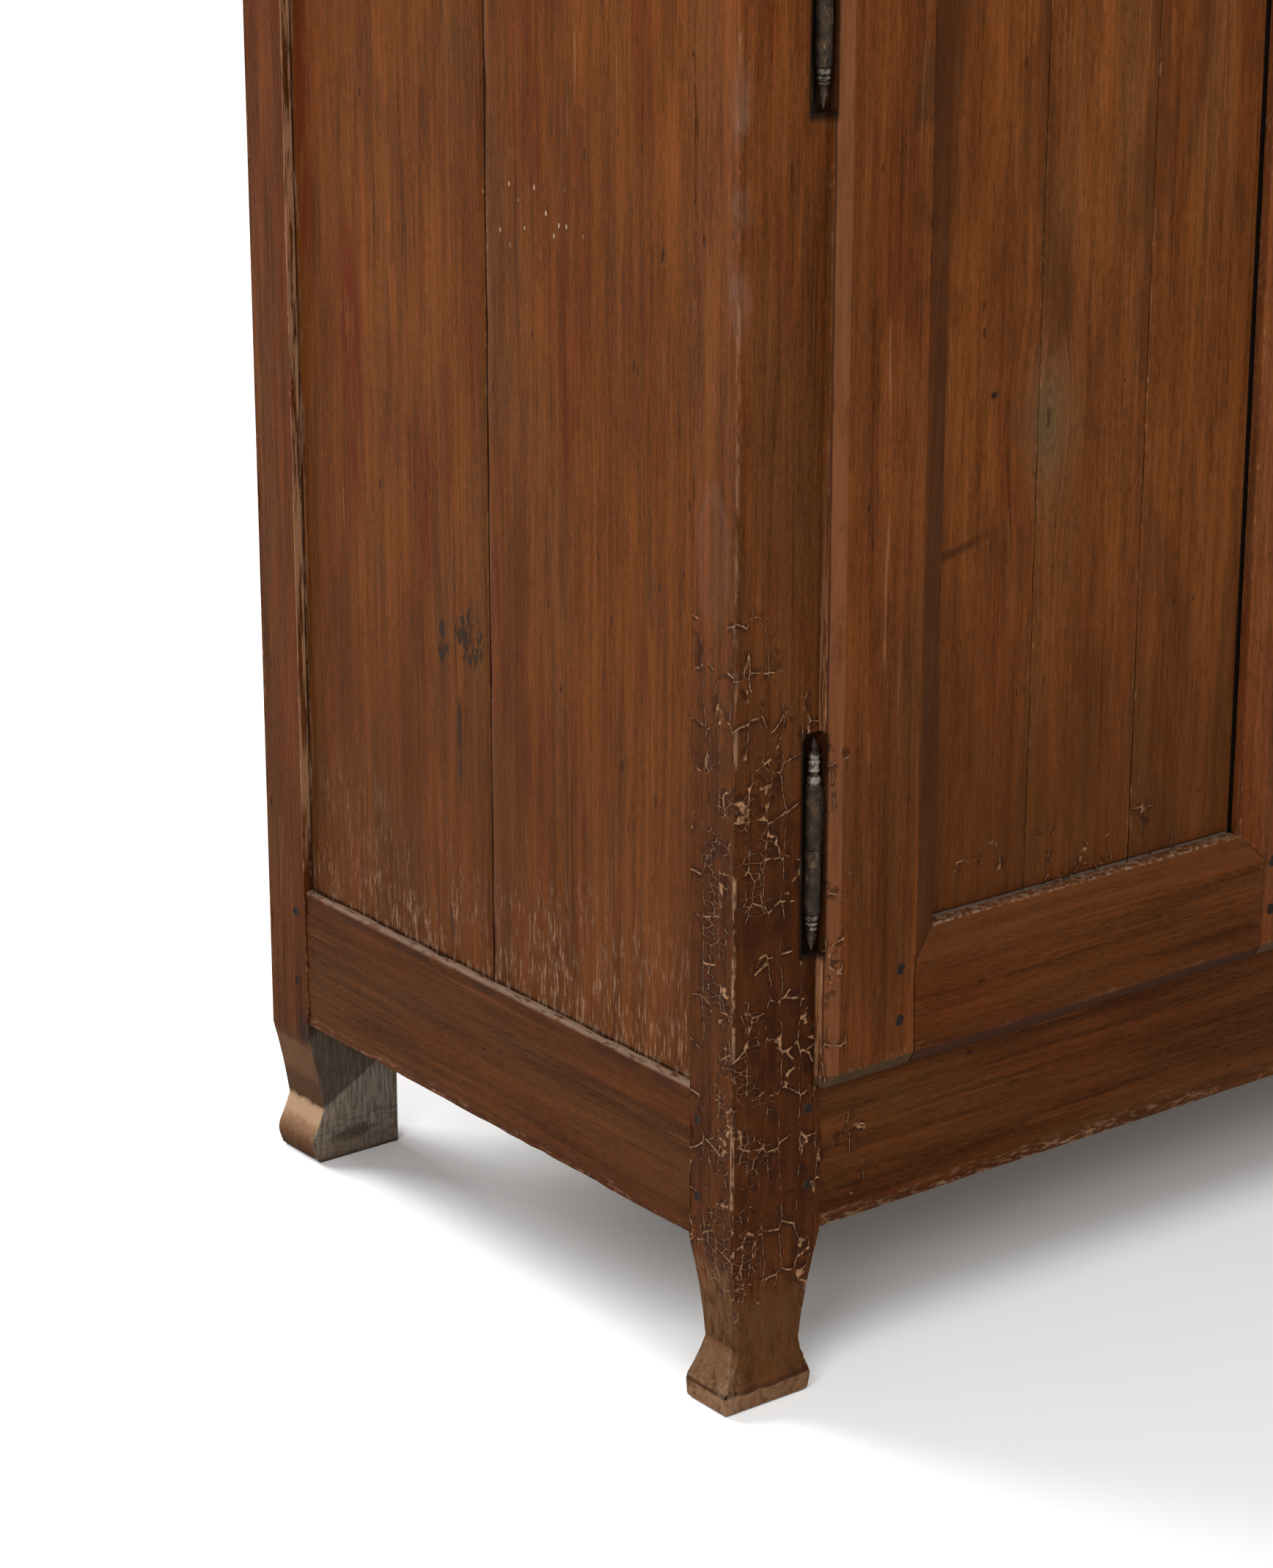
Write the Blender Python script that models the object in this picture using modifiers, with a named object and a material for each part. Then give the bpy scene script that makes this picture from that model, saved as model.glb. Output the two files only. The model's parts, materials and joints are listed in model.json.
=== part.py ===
"""A two-door country armoire in fruitwood: framed and panelled, pegged, on shaped feet.

World frame: metres, +Z up, the doors face -Y, the origin is on the floor under the middle of the
whole. Distances called "out" are measured from the middle plane towards either side, and
distances called "back" are measured from the front face of the front posts towards the rear.
"""

import math

import bmesh
import bpy
from mathutils import Matrix, Vector

# ---------------------------------------------------------------- driving sizes
body_width = 1.262
body_depth = 0.612
post_height = 1.905
cornice_height = 0.115
cornice_reach = 0.050

gap = 0.0003                    # between pieces that touch
door_clearance = 0.0015         # round a door inside its opening

front_post_width = 0.0826
front_post_depth = 0.049
rear_post_width = 0.087
rear_post_depth = 0.053

rail_bottom = 0.126
side_rail_top = 0.244
front_rail_top = 0.2485
top_rail_height = 0.0965
side_top_rail_height = 0.100
front_rail_thickness = 0.030
front_rail_setback = 0.0012
side_rail_thickness = 0.035
side_rail_setback = 0.001
rear_rail_thickness = 0.034
rear_rail_setback = 0.004       # of the rear rails' backs in front of the posts' backs
rebate_width = 0.010            # ledge in the bottom rails that carries the floor board

centre_post_width = 0.070
centre_post_thickness = 0.018

side_panel_setback = 0.008
side_panel_thickness = 0.012
back_panel_setback = 0.012
back_panel_thickness = 0.010
groove_depth = 0.008
board_joint = 0.0006            # open joint between neighbouring boards

floor_thickness = 0.0195
shelf_thickness = 0.022
shelf_heights = {"lower": 0.760, "upper": 1.280}
batten_width = 0.024
batten_height = 0.032
roof_thickness = 0.016
cornice_thickness = 0.026       # of the cornice behind the post faces

tenon_thickness = 0.010
tenon_shoulder = 0.015
tenon_length = 0.035

# doors
door_overlap = 0.008            # of the rebated edge over the carcass
door_proud = 0.0125             # of the door's face in front of the carcass
door_inset = 0.016              # of the door's back inside the carcass
edge_fillet = 0.0074            # depth of the thin rounded edge that lies on the carcass
edge_quirk = 0.0020
edge_moulding_side = 0.0142
edge_moulding_end = 0.0100
stile_flat = 0.0712
rail_flat_bottom = 0.0715
rail_flat_top = 0.0715
bevel_width = 0.0224
bevel_drop = 0.0070
door_panel_setback = 0.0045     # of the panel's face behind the front of the carcass
door_panel_thickness = 0.007
door_tenon_length = 0.045
door_board_widths = {"left": (0.0985, 0.1065), "right": (0.168,)}

# hinges
hinge_in_from_edge = 0.0056     # of the hinge axis outside the door's edge
hinge_axis_forward = 0.0025     # of the hinge axis in front of the posts
hinge_heights = {"lower": 0.4255, "middle": 1.0285, "upper": 1.6315}
knuckle_radius = 0.0062
knuckle_length = 0.0481
upper_finial_length = 0.0352
lower_finial_length = 0.0292
pin_radius = 0.0030
pin_length = 0.030
pin_clearance = 0.0003
leaf_thickness = 0.0020
leaf_depth = 0.036
leaf_inset = 0.004              # of a leaf's ends inside its knuckle's ends
recess_side = 0.0012            # round the knuckles, in the post and the door edge
recess_end = 0.0030

# lock and turn button
lock_height = 1.030
lock_case_width = 0.062
lock_case_height = 0.105
lock_case_depth = 0.018
lock_plate = 0.0018
lock_from_edge = 0.003          # of the case's side inside the door's inner edge
keyhole_above_centre = -0.012
keyhole_in_from_case = 0.034
keyhole_radius = 0.0050
keyhole_slot_width = 0.0045
keyhole_slot_drop = 0.016
bolt_height = 0.020
bolt_thickness = 0.007
bolt_length = 0.050
bolt_above_centre = 0.020
bolt_back = 0.0035              # behind the back of the centre post
key_radius = 0.0032
key_reach = 0.012               # of the key's shank in front of the escutcheon
key_bow_radius = 0.0080
key_bow_bar = 0.0022
key_bit_drop = 0.011
key_bit_length = 0.010
key_bit_thickness = 0.003
escutcheon_thickness = 0.0012
escutcheon_width = 0.026
escutcheon_height = 0.052
turn_button_height = 1.180
turn_button_out = 0.020          # of its pin, towards the left door
turn_button_length = 0.068
turn_button_width = 0.018
turn_button_thickness = 0.008
turn_pin_radius = 0.003
turn_pin_reach = 0.010          # into the centre post

# ---------------------------------------------------------------- sizes that follow
half_width = body_width / 2
front = -(body_depth - cornice_reach) / 2
rear = front + body_depth
top_rail_bottom = post_height - top_rail_height
opening_inner = centre_post_width / 2
opening_outer = half_width - front_post_width
door_bottom = front_rail_top - door_overlap
door_top = top_rail_bottom + door_overlap
door_inner = opening_inner - door_overlap
door_outer = opening_outer + door_overlap
hinge_out = door_outer + hinge_in_from_edge
hinge_y = front - hinge_axis_forward
panel_top = post_height - side_top_rail_height
side_inner = half_width - side_panel_setback - side_panel_thickness
lock_middle_out = door_inner + door_overlap + door_clearance + lock_from_edge
keyhole_out = lock_middle_out + keyhole_in_from_case
keyhole_height = lock_height + keyhole_above_centre
SIDES = {"left": -1, "right": 1}

# ---------------------------------------------------------------- finishes
FINISHES = {
    "waxed_wood": ((0.23, 0.095, 0.043, 1), 0.42, 0.0),
    "panel_wood": ((0.25, 0.105, 0.050, 1), 0.45, 0.0),
    "raw_wood": ((0.27, 0.19, 0.12, 1), 0.80, 0.0),
    "aged_iron": ((0.055, 0.045, 0.038, 1), 0.50, 0.9),
    "key_iron": ((0.16, 0.14, 0.12, 1), 0.35, 0.9),
}


def finish(piece, kind):
    """Give a piece a material of its own in one of the object's finishes."""
    colour, roughness, metallic = FINISHES[kind]
    material = bpy.data.materials.new(piece.name + "_finish")
    material.use_nodes = True
    shader = material.node_tree.nodes["Principled BSDF"]
    shader.inputs["Base Color"].default_value = colour
    shader.inputs["Roughness"].default_value = roughness
    shader.inputs["Metallic"].default_value = metallic
    material.diffuse_color = colour
    piece.data.materials.clear()
    piece.data.materials.append(material)
    return piece


# ---------------------------------------------------------------- modelling helpers
def start_scene():
    for thing in list(bpy.data.objects):
        bpy.data.objects.remove(thing)
    made = {}
    for title in ("armoire", "cutters"):
        collection = bpy.data.collections.new(title)
        bpy.context.scene.collection.children.link(collection)
        made[title] = collection
    return made


collections = start_scene()


def place(piece, tool=False):
    """Link a new object, as a part of the armoire or as a hidden cutter."""
    collections["cutters" if tool else "armoire"].objects.link(piece)
    if tool:
        piece.hide_render = True
        piece.display_type = "WIRE"
    return piece


def from_bmesh(name, bm, tool=False):
    mesh = bpy.data.meshes.new(name)
    bmesh.ops.recalc_face_normals(bm, faces=bm.faces)
    bm.to_mesh(mesh)
    bm.free()
    return place(bpy.data.objects.new(name, mesh), tool)


def box(name, low, high, tool=False):
    """A block between two corners, given in any order."""
    corners = [sorted(pair) for pair in zip(low, high)]
    middle = Vector([(pair[0] + pair[1]) / 2 for pair in corners])
    size = Vector([pair[1] - pair[0] for pair in corners])
    bm = bmesh.new()
    bmesh.ops.create_cube(bm, size=1, matrix=Matrix.Diagonal((*size, 1)))
    piece = from_bmesh(name, bm, tool)
    piece.location = middle
    return piece


# The turn that stands a flat outline up: its first and second axes become these world axes.
PLANES = {
    "xy": Matrix.Identity(4),
    "xz": Matrix(((1, 0, 0, 0), (0, 0, -1, 0), (0, 1, 0, 0), (0, 0, 0, 1))),
    "yz": Matrix(((0, 0, 1, 0), (1, 0, 0, 0), (0, 1, 0, 0), (0, 0, 0, 1))),
}


def outline_solid(name, points, plane, low, high, tool=False):
    """A flat outline in a world plane, made thick from low to high along the third axis."""
    low, high = sorted((low, high))
    curve = bpy.data.curves.new(name, "CURVE")
    curve.dimensions = "2D"
    curve.fill_mode = "BOTH"
    curve.extrude = (high - low) / 2
    spline = curve.splines.new("POLY")
    spline.points.add(len(points) - 1)
    for point, (first, second) in zip(spline.points, points):
        point.co = (first, second, 0, 1)
    spline.use_cyclic_u = True
    sketch = bpy.data.objects.new(name + "_outline", curve)
    bpy.context.scene.collection.objects.link(sketch)
    bpy.context.view_layer.update()
    mesh = bpy.data.meshes.new_from_object(sketch.evaluated_get(bpy.context.evaluated_depsgraph_get()))
    bpy.data.objects.remove(sketch)
    bpy.data.curves.remove(curve)
    bm = bmesh.new()
    bm.from_mesh(mesh)
    bpy.data.meshes.remove(mesh)
    bmesh.ops.remove_doubles(bm, verts=bm.verts, dist=1e-6)
    middle = (low + high) / 2
    along = {"xy": (0, 0, middle), "xz": (0, middle, 0), "yz": (middle, 0, 0)}[plane]
    bm.transform(Matrix.Translation(along) @ PLANES[plane])
    return from_bmesh(name, bm, tool)


def turned_solid(name, profile, base, segments=12, tool=False):
    """A turned piece: (radius, height) points from top to bottom round a vertical axis at base."""
    mesh = bpy.data.meshes.new(name)
    bm = bmesh.new()
    line = [bm.verts.new((radius, 0, height)) for radius, height in profile]
    for above, below in zip(line, line[1:]):
        bm.edges.new((above, below))
    bm.to_mesh(mesh)
    bm.free()
    piece = place(bpy.data.objects.new(name, mesh), tool)
    piece.location = base
    screw = piece.modifiers.new("Turn", "SCREW")
    screw.steps = segments
    screw.render_steps = segments
    screw.use_merge_vertices = True
    screw.merge_threshold = 0.00001
    return piece


def rod(name, start, end, radius, segments=16, tool=False):
    """A straight round bar between two points."""
    start = Vector(start)
    end = Vector(end)
    turn = (end - start).to_track_quat("Z", "Y").to_matrix().to_4x4()
    bm = bmesh.new()
    bmesh.ops.create_cone(bm, cap_ends=True, segments=segments, radius1=radius, radius2=radius,
                          depth=(end - start).length,
                          matrix=Matrix.Translation((start + end) / 2) @ turn)
    return from_bmesh(name, bm, tool)


def boolean(piece, tool, operation):
    step = piece.modifiers.new(operation.title() + "_" + tool.name, "BOOLEAN")
    step.operation = operation
    step.object = tool
    return piece


def cut(piece, tool):
    return boolean(piece, tool, "DIFFERENCE")


def join(piece, tool):
    return boolean(piece, tool, "UNION")


def keep_common(piece, tool):
    return boolean(piece, tool, "INTERSECT")


def grown(low, high, by):
    """The corners of a block, moved out by a clearance on every side."""
    pairs = [sorted(pair) for pair in zip(low, high)]
    return [pair[0] - by for pair in pairs], [pair[1] + by for pair in pairs]


def tenon(rail, low, high, receiver, overlap_axis, overlap):
    """Add a tenon to a rail and cut its mortise in the piece that receives it.

    low and high are the tenon's visible block; overlap is how far it reaches back into the rail
    along one axis so that the two join.
    """
    name = f"{rail.name}_tenon_in_{receiver.name}"
    reach_low = list(low)
    reach_high = list(high)
    if overlap > 0:
        reach_high[overlap_axis] += overlap
    else:
        reach_low[overlap_axis] += overlap
    join(rail, box(name, reach_low, reach_high, tool=True))
    mortise_low, mortise_high = grown(low, high, gap)
    if overlap > 0:
        mortise_high[overlap_axis] += tenon_shoulder
    else:
        mortise_low[overlap_axis] -= tenon_shoulder
    cut(receiver, box(name + "_mortise", mortise_low, mortise_high, tool=True))


# ---------------------------------------------------------------- posts and feet
def arc_points(start, end, bulge, count=4):
    """Points on a shallow curve between two places, pushed sideways by bulge at its middle."""
    start = Vector(start)
    end = Vector(end)
    along = end - start
    across = Vector((-along.y, along.x)).normalized()
    steps = [index / count for index in range(1, count)]
    return [tuple(start + along * step + across * bulge * math.sin(math.pi * step)) for step in steps]


def foot_profile(taper_top, waist, flare, pad_top, pad_foot, bulge):
    """An outer foot profile as (distance in from the face, height), from the post to the floor."""
    points = [taper_top]
    points += arc_points(taper_top, waist, bulge)
    points.append(waist)
    points += arc_points(waist, flare, bulge / 2, 3)
    points += [flare, pad_top, pad_foot]
    return points


FRONT_FOOT_OUT = foot_profile((0, 0.124), (0.0125, 0.043), (-0.0060, 0.0185), (-0.0080, 0.0150),
                              (-0.0075, 0), 0.0012)
FRONT_FOOT_FACE = foot_profile((0, 0.124), (0.0040, 0.043), (-0.0040, 0.0185), (-0.0050, 0.0150),
                               (-0.0045, 0), 0.0008)
FRONT_FOOT_IN = foot_profile((0, 0.124), (0.0155, 0.040), (0.0110, 0.0165), (0.0105, 0.0140),
                             (0.0135, 0), 0.0012)
FRONT_FOOT_BACK = foot_profile((0, 0.124), (0.0040, 0.043), (0.0060, 0.0185), (0.0070, 0.0150),
                               (0.0080, 0), 0.0008)
REAR_FOOT_OUT = foot_profile((0, 0.113), (0.0140, 0.046), (0.0030, 0.0220), (0.0020, 0.0150),
                             (0.0070, 0), 0.0012)


def front_post(side_name):
    """A front post with its foot: two shaped outlines, one seen from the front, one from the side."""
    side = SIDES[side_name]
    inner = half_width - front_post_width
    outer_line = [(side * (half_width - inward), height) for inward, height in FRONT_FOOT_OUT]
    inner_line = [(side * (inner + inward), height) for inward, height in FRONT_FOOT_IN]
    seen_from_front = [(side * half_width, post_height)] + outer_line
    seen_from_front += inner_line[::-1] + [(side * inner, post_height)]
    post = outline_solid(f"{side_name}_front_post", seen_from_front, "xz",
                         front - front_post_depth, front + 2 * front_post_depth)
    face_line = [(front + inward, height) for inward, height in FRONT_FOOT_FACE]
    back_line = [(front + front_post_depth - inward, height) for inward, height in FRONT_FOOT_BACK]
    seen_from_side = [(front, post_height)] + face_line
    seen_from_side += back_line[::-1] + [(front + front_post_depth, post_height)]
    profile = outline_solid(f"{side_name}_front_post_profile", seen_from_side, "yz",
                            side * (inner - front_post_width), side * (half_width + front_post_width),
                            tool=True)
    keep_common(post, profile)
    cut(post, side_panel_groove(side_name, "front", front + front_post_depth - groove_depth,
                                front + front_post_depth + groove_depth))
    return finish(post, "waxed_wood")


def rear_post(side_name):
    """A rear post: a plank on edge whose outer edge is shaped into a foot."""
    side = SIDES[side_name]
    inner = half_width - rear_post_width
    outer_line = [(side * (half_width - inward), height) for inward, height in REAR_FOOT_OUT]
    outline = [(side * half_width, post_height)] + outer_line
    outline += [(side * inner, 0), (side * inner, post_height)]
    post = outline_solid(f"{side_name}_rear_post", outline, "xz", rear - rear_post_depth, rear)
    cut(post, side_panel_groove(side_name, "rear", rear - rear_post_depth - groove_depth,
                                rear - rear_post_depth + groove_depth))
    back_low = rear - back_panel_setback - back_panel_thickness
    groove = box(f"{side_name}_back_groove",
                 (side * (inner - groove_depth), back_low - gap, side_rail_top - groove_depth - gap),
                 (side * (inner + groove_depth), rear - back_panel_setback + gap,
                  panel_top + groove_depth + gap), tool=True)
    cut(post, groove)
    return finish(post, "waxed_wood")


def side_panel_groove(side_name, label, low_y, high_y):
    """The cutter for the groove that holds a side panel."""
    side = SIDES[side_name]
    outer = half_width - side_panel_setback
    return box(f"{side_name}_{label}_panel_groove",
               (side * (outer + gap), low_y, side_rail_top - groove_depth - gap),
               (side * (outer - side_panel_thickness - gap), high_y, panel_top + groove_depth + gap),
               tool=True)


# ---------------------------------------------------------------- rails of the carcass
def front_rail(label, low_z, high_z, posts):
    """A front rail with a tenon at each end."""
    low_y = front + front_rail_setback
    high_y = low_y + front_rail_thickness
    inner = half_width - front_post_width
    rail = box(f"front_{label}_rail", (-inner + gap, low_y, low_z), (inner - gap, high_y, high_z))
    middle_y = (low_y + high_y) / 2
    for side_name, side in SIDES.items():
        ends = sorted((side * inner, side * (inner + tenon_length)))
        tenon(rail, (ends[0], middle_y - tenon_thickness / 2, low_z + tenon_shoulder),
              (ends[1], middle_y + tenon_thickness / 2, high_z - tenon_shoulder),
              posts[side_name], 0, -side * tenon_shoulder)
    return finish(rail, "waxed_wood")


def side_rail(side_name, label, low_z, high_z, front_one, rear_one):
    """A side rail with tenons into the front and rear posts, grooved for the side panel."""
    side = SIDES[side_name]
    outer = half_width - side_rail_setback
    low_y = front + front_post_depth
    high_y = rear - rear_post_depth
    rail = box(f"{side_name}_{label}_side_rail", (side * outer, low_y + gap, low_z),
               (side * (outer - side_rail_thickness), high_y - gap, high_z))
    tenon_out = sorted((side * (outer - tenon_shoulder), side * (outer - tenon_shoulder - tenon_thickness)))
    low_corner = (tenon_out[0], low_y - tenon_length, low_z + tenon_shoulder)
    high_corner = (tenon_out[1], low_y, high_z - tenon_shoulder)
    tenon(rail, low_corner, high_corner, front_one, 1, tenon_shoulder)
    low_corner = (tenon_out[0], high_y, low_z + tenon_shoulder)
    high_corner = (tenon_out[1], high_y + tenon_length, high_z - tenon_shoulder)
    tenon(rail, low_corner, high_corner, rear_one, 1, -tenon_shoulder)
    panel_outer = half_width - side_panel_setback
    edge = high_z if label == "bottom" else low_z
    cut(rail, box(f"{rail.name}_groove",
                  (side * (panel_outer + gap), low_y - tenon_length, edge - groove_depth - gap),
                  (side * (panel_outer - side_panel_thickness - gap), high_y + tenon_length,
                   edge + groove_depth + gap), tool=True))
    if label == "bottom":
        cut(rail, box(f"{rail.name}_rebate",
                      (side * (outer - side_rail_thickness + rebate_width), low_y - tenon_length,
                       front_floor_bottom()),
                      (side * (outer - 2 * side_rail_thickness), high_y + tenon_length,
                       high_z + rebate_width), tool=True))
    return finish(rail, "waxed_wood")


def front_floor_bottom():
    return front_rail_top - 0.0025 - floor_thickness


def rear_rail(label, low_z, high_z, posts):
    """A rear rail with tenons, grooved for the back boards."""
    high_y = rear - rear_rail_setback
    low_y = high_y - rear_rail_thickness
    inner = half_width - rear_post_width
    rail = box(f"rear_{label}_rail", (-inner + gap, low_y, low_z), (inner - gap, high_y, high_z))
    tenon_low = low_y + (rear_rail_thickness - tenon_thickness) / 2
    for side_name, side in SIDES.items():
        ends = sorted((side * inner, side * (inner + tenon_length)))
        tenon(rail, (ends[0], tenon_low, low_z + tenon_shoulder),
              (ends[1], tenon_low + tenon_thickness, high_z - tenon_shoulder),
              posts[side_name], 0, -side * tenon_shoulder)
    edge = high_z if label == "bottom" else low_z
    panel_high = rear - back_panel_setback
    cut(rail, box(f"{rail.name}_groove",
                  (-half_width, panel_high - back_panel_thickness - gap, edge - groove_depth - gap),
                  (half_width, panel_high + gap, edge + groove_depth + gap), tool=True))
    return finish(rail, "raw_wood")


def centre_post(bottom_rail, top_rail):
    """The fixed post between the doors, tenoned into the front rails."""
    low_y = front
    high_y = low_y + centre_post_thickness
    post = box("centre_post", (-centre_post_width / 2, low_y, front_rail_top + gap),
               (centre_post_width / 2, high_y, top_rail_bottom - gap))
    half = centre_post_width / 2 - tenon_shoulder
    tenon_y = front + front_rail_setback + (centre_post_thickness - tenon_thickness) / 2
    tenon(post, (-half, tenon_y, front_rail_top - tenon_length), (half, tenon_y + tenon_thickness,
          front_rail_top), bottom_rail, 2, tenon_shoulder)
    tenon(post, (-half, tenon_y, top_rail_bottom), (half, tenon_y + tenon_thickness,
          top_rail_bottom + tenon_length), top_rail, 2, -tenon_shoulder)
    cut(post, rod("turn_pin_hole", (-turn_button_out, high_y - turn_pin_reach - gap, turn_button_height),
                  (-turn_button_out, high_y + turn_pin_reach, turn_button_height),
                  turn_pin_radius + gap, tool=True))
    return finish(post, "waxed_wood")


# ---------------------------------------------------------------- boards
def side_boards(side_name):
    """Two upright boards that fill one side."""
    side = SIDES[side_name]
    outer = half_width - side_panel_setback
    low_y = front + front_post_depth - groove_depth + gap
    high_y = rear - rear_post_depth + groove_depth - gap
    middle = (low_y + high_y) / 2
    low_z = side_rail_top - groove_depth + gap
    high_z = panel_top + groove_depth - gap
    spans = {"front": (low_y, middle - board_joint / 2), "rear": (middle + board_joint / 2, high_y)}
    for label, (start, end) in spans.items():
        board = box(f"{side_name}_side_board_{label}", (side * outer, start, low_z),
                    (side * (outer - side_panel_thickness), end, high_z))
        finish(board, "panel_wood")


def back_boards():
    outer = half_width - rear_post_width + groove_depth - gap
    high_y = rear - back_panel_setback
    low_z = side_rail_top - groove_depth + gap
    high_z = panel_top + groove_depth - gap
    for side_name, side in SIDES.items():
        board = box(f"{side_name}_back_board", (side * board_joint / 2, high_y - back_panel_thickness, low_z),
                    (side * outer, high_y, high_z))
        finish(board, "raw_wood")


def floor_board():
    """The floor, notched round the posts, lying on the rebates of the four bottom rails."""
    low_z = front_floor_bottom() + gap
    front_edge = front + front_rail_setback + front_rail_thickness - rebate_width + gap
    rear_edge = rear - rear_rail_setback - rear_rail_thickness + rebate_width - gap
    side_edge = half_width - side_rail_setback - side_rail_thickness + rebate_width - gap
    front_notch = (half_width - front_post_width - gap, front + front_post_depth + gap)
    rear_notch = (half_width - rear_post_width - gap, rear - rear_post_depth - gap)
    right = [(front_notch[0], front_edge), front_notch, (side_edge, front_notch[1]),
             (side_edge, rear_notch[1]), rear_notch, (rear_notch[0], rear_edge)]
    left = [(-out, back) for out, back in reversed(right)]
    board = outline_solid("floor_board", right + left, "xy", low_z, low_z + floor_thickness)
    return finish(board, "raw_wood")


def cut_floor_rebates(front_one, rear_one):
    front_edge = front + front_rail_setback + front_rail_thickness
    rear_edge = rear - rear_rail_setback - rear_rail_thickness
    top = front_rail_top + rebate_width
    cut(front_one, box("front_floor_rebate", (-half_width, front_edge - rebate_width, front_floor_bottom()),
                       (half_width, front_edge + rebate_width, top), tool=True))
    cut(rear_one, box("rear_floor_rebate", (-half_width, rear_edge - rebate_width, front_floor_bottom()),
                      (half_width, rear_edge + rebate_width, top), tool=True))


def shelf_and_battens(label, height):
    """A shelf on two battens that run between the front and rear posts."""
    low_y = front + front_post_depth + gap
    high_y = rear - rear_post_depth - gap
    edge = side_inner - gap
    shelf = box(f"{label}_shelf", (-edge, low_y, height), (edge, high_y, height + shelf_thickness))
    finish(shelf, "raw_wood")
    for side_name, side in SIDES.items():
        batten = box(f"{side_name}_{label}_shelf_batten", (side * edge, low_y, height - batten_height - gap),
                     (side * (edge - batten_width), high_y, height - gap))
        finish(batten, "raw_wood")


def roof_board():
    """The roof, lying on the posts and top rails inside the cornice."""
    low_z = post_height + gap
    edge = half_width - cornice_thickness - gap
    board = box("roof_board", (-edge, front + cornice_thickness + gap, low_z),
                (edge, rear, low_z + roof_thickness))
    return finish(board, "raw_wood")


# ---------------------------------------------------------------- cornice
def cornice_profile():
    """(outward, height) points: a fillet, a hollow, a round and a top fillet over a flat back."""
    base = post_height + gap
    top = post_height + cornice_height
    points = [(-cornice_thickness, base), (0.004, base), (0.004, base + 0.018), (0.009, base + 0.020)]
    hollow_centre = (0.034, base + 0.024)
    for index in range(5):
        angle = math.pi + index * math.pi / 8
        points.append((hollow_centre[0] + 0.025 * math.cos(angle), hollow_centre[1] - 0.032 * math.sin(angle)))
    points += [(0.036, base + 0.062)]
    round_centre = (0.036, base + 0.075)
    for index in range(1, 5):
        angle = -math.pi / 2 + index * math.pi / 8
        points.append((round_centre[0] + 0.012 * math.cos(angle), round_centre[1] + 0.012 * math.sin(angle)))
    points += [(0.048, top - 0.028), (cornice_reach, top - 0.026), (cornice_reach, top),
               (-cornice_thickness, top)]
    return points


def cornice_front():
    """The front length, its ends mitred by moving each end point in line with its reach."""
    points = [(front - outward, height) for outward, height in cornice_profile()]
    piece = outline_solid("cornice_front", points, "yz", -half_width, half_width)
    mitre = gap / 2
    for vertex in piece.data.vertices:
        reach = front - vertex.co.y
        vertex.co.x = math.copysign(half_width + reach - mitre, vertex.co.x)
    return finish(piece, "waxed_wood")


def cornice_side(side_name):
    """A side length, mitred at the front and square at the rear."""
    side = SIDES[side_name]
    points = [(side * (half_width + outward), height) for outward, height in cornice_profile()]
    piece = outline_solid(f"cornice_{side_name}", points, "xz", front, rear)
    middle_y = (front + rear) / 2
    mitre = gap / 2
    for vertex in piece.data.vertices:
        if vertex.co.y < middle_y:
            reach = abs(vertex.co.x) - half_width
            vertex.co.y = front - reach + mitre
    return finish(piece, "waxed_wood")


# ---------------------------------------------------------------- doors
def edge_profile(moulding):
    """(in from the lip's edge, back from the carcass face) points of the moulded door edge."""
    return [(0, -gap), (0, -edge_fillet), (edge_quirk, -edge_fillet - 0.0008),
            (moulding, -door_proud)]


def stile(side_name, edge_name, lip_out, inward):
    """A door stile. lip_out is its moulded edge, and inward (+1 or -1) points to the panel."""
    side = SIDES[side_name]
    flat_end = edge_moulding_side + stile_flat
    core = door_overlap + door_clearance
    inner = flat_end + bevel_width
    outline = edge_profile(edge_moulding_side)
    outline += [(flat_end, -door_proud), (inner, -door_proud + bevel_drop), (inner, door_inset),
                (core, door_inset), (core, -gap)]
    points = [(side * (lip_out + inward * across), front + back) for across, back in outline]
    name = f"{side_name}_door_{edge_name}_stile"
    piece = outline_solid(name, points, "xy", door_bottom, door_top)
    groove_out = lip_out + inward * (inner - groove_depth)
    panel_front = front + door_panel_setback
    cut(piece, box(f"{name}_groove",
                   (side * groove_out, panel_front - gap, panel_low() - groove_depth),
                   (side * (groove_out + inward * 2 * groove_depth),
                    panel_front + door_panel_thickness + gap, panel_high() + groove_depth), tool=True))
    for label, mitre in mitre_outlines().items():
        wedge = [(side * (lip_out + inward * across), height) for across, height in mitre]
        cut(piece, outline_solid(f"{name}_{label}_mitre", wedge, "xz", front - 2 * door_proud,
                                 front + 2 * door_inset, tool=True))
        trim_stile_end(piece, label, side_name, edge_name, lip_out, inward)
    return finish(piece, "waxed_wood")


def panel_low():
    """The height of the door panel's visible bottom."""
    return door_bottom + edge_moulding_end + rail_flat_bottom + bevel_width


def panel_high():
    return door_top - edge_moulding_end - rail_flat_top - bevel_width


def mitre_outlines():
    """The two corners cut off a stile, where a rail with its mitred bevel runs past it."""
    joint = edge_moulding_side + stile_flat
    beyond = joint + 3 * bevel_width
    low = panel_low()
    high = panel_high()
    return {
        "bottom": [(joint, door_bottom - bevel_width), (beyond, door_bottom - bevel_width),
                   (beyond, low + 2 * bevel_width), (joint, low - bevel_width)],
        "top": [(joint, high + bevel_width), (beyond, high - 2 * bevel_width),
                (beyond, door_top + bevel_width), (joint, door_top + bevel_width)],
    }


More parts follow.
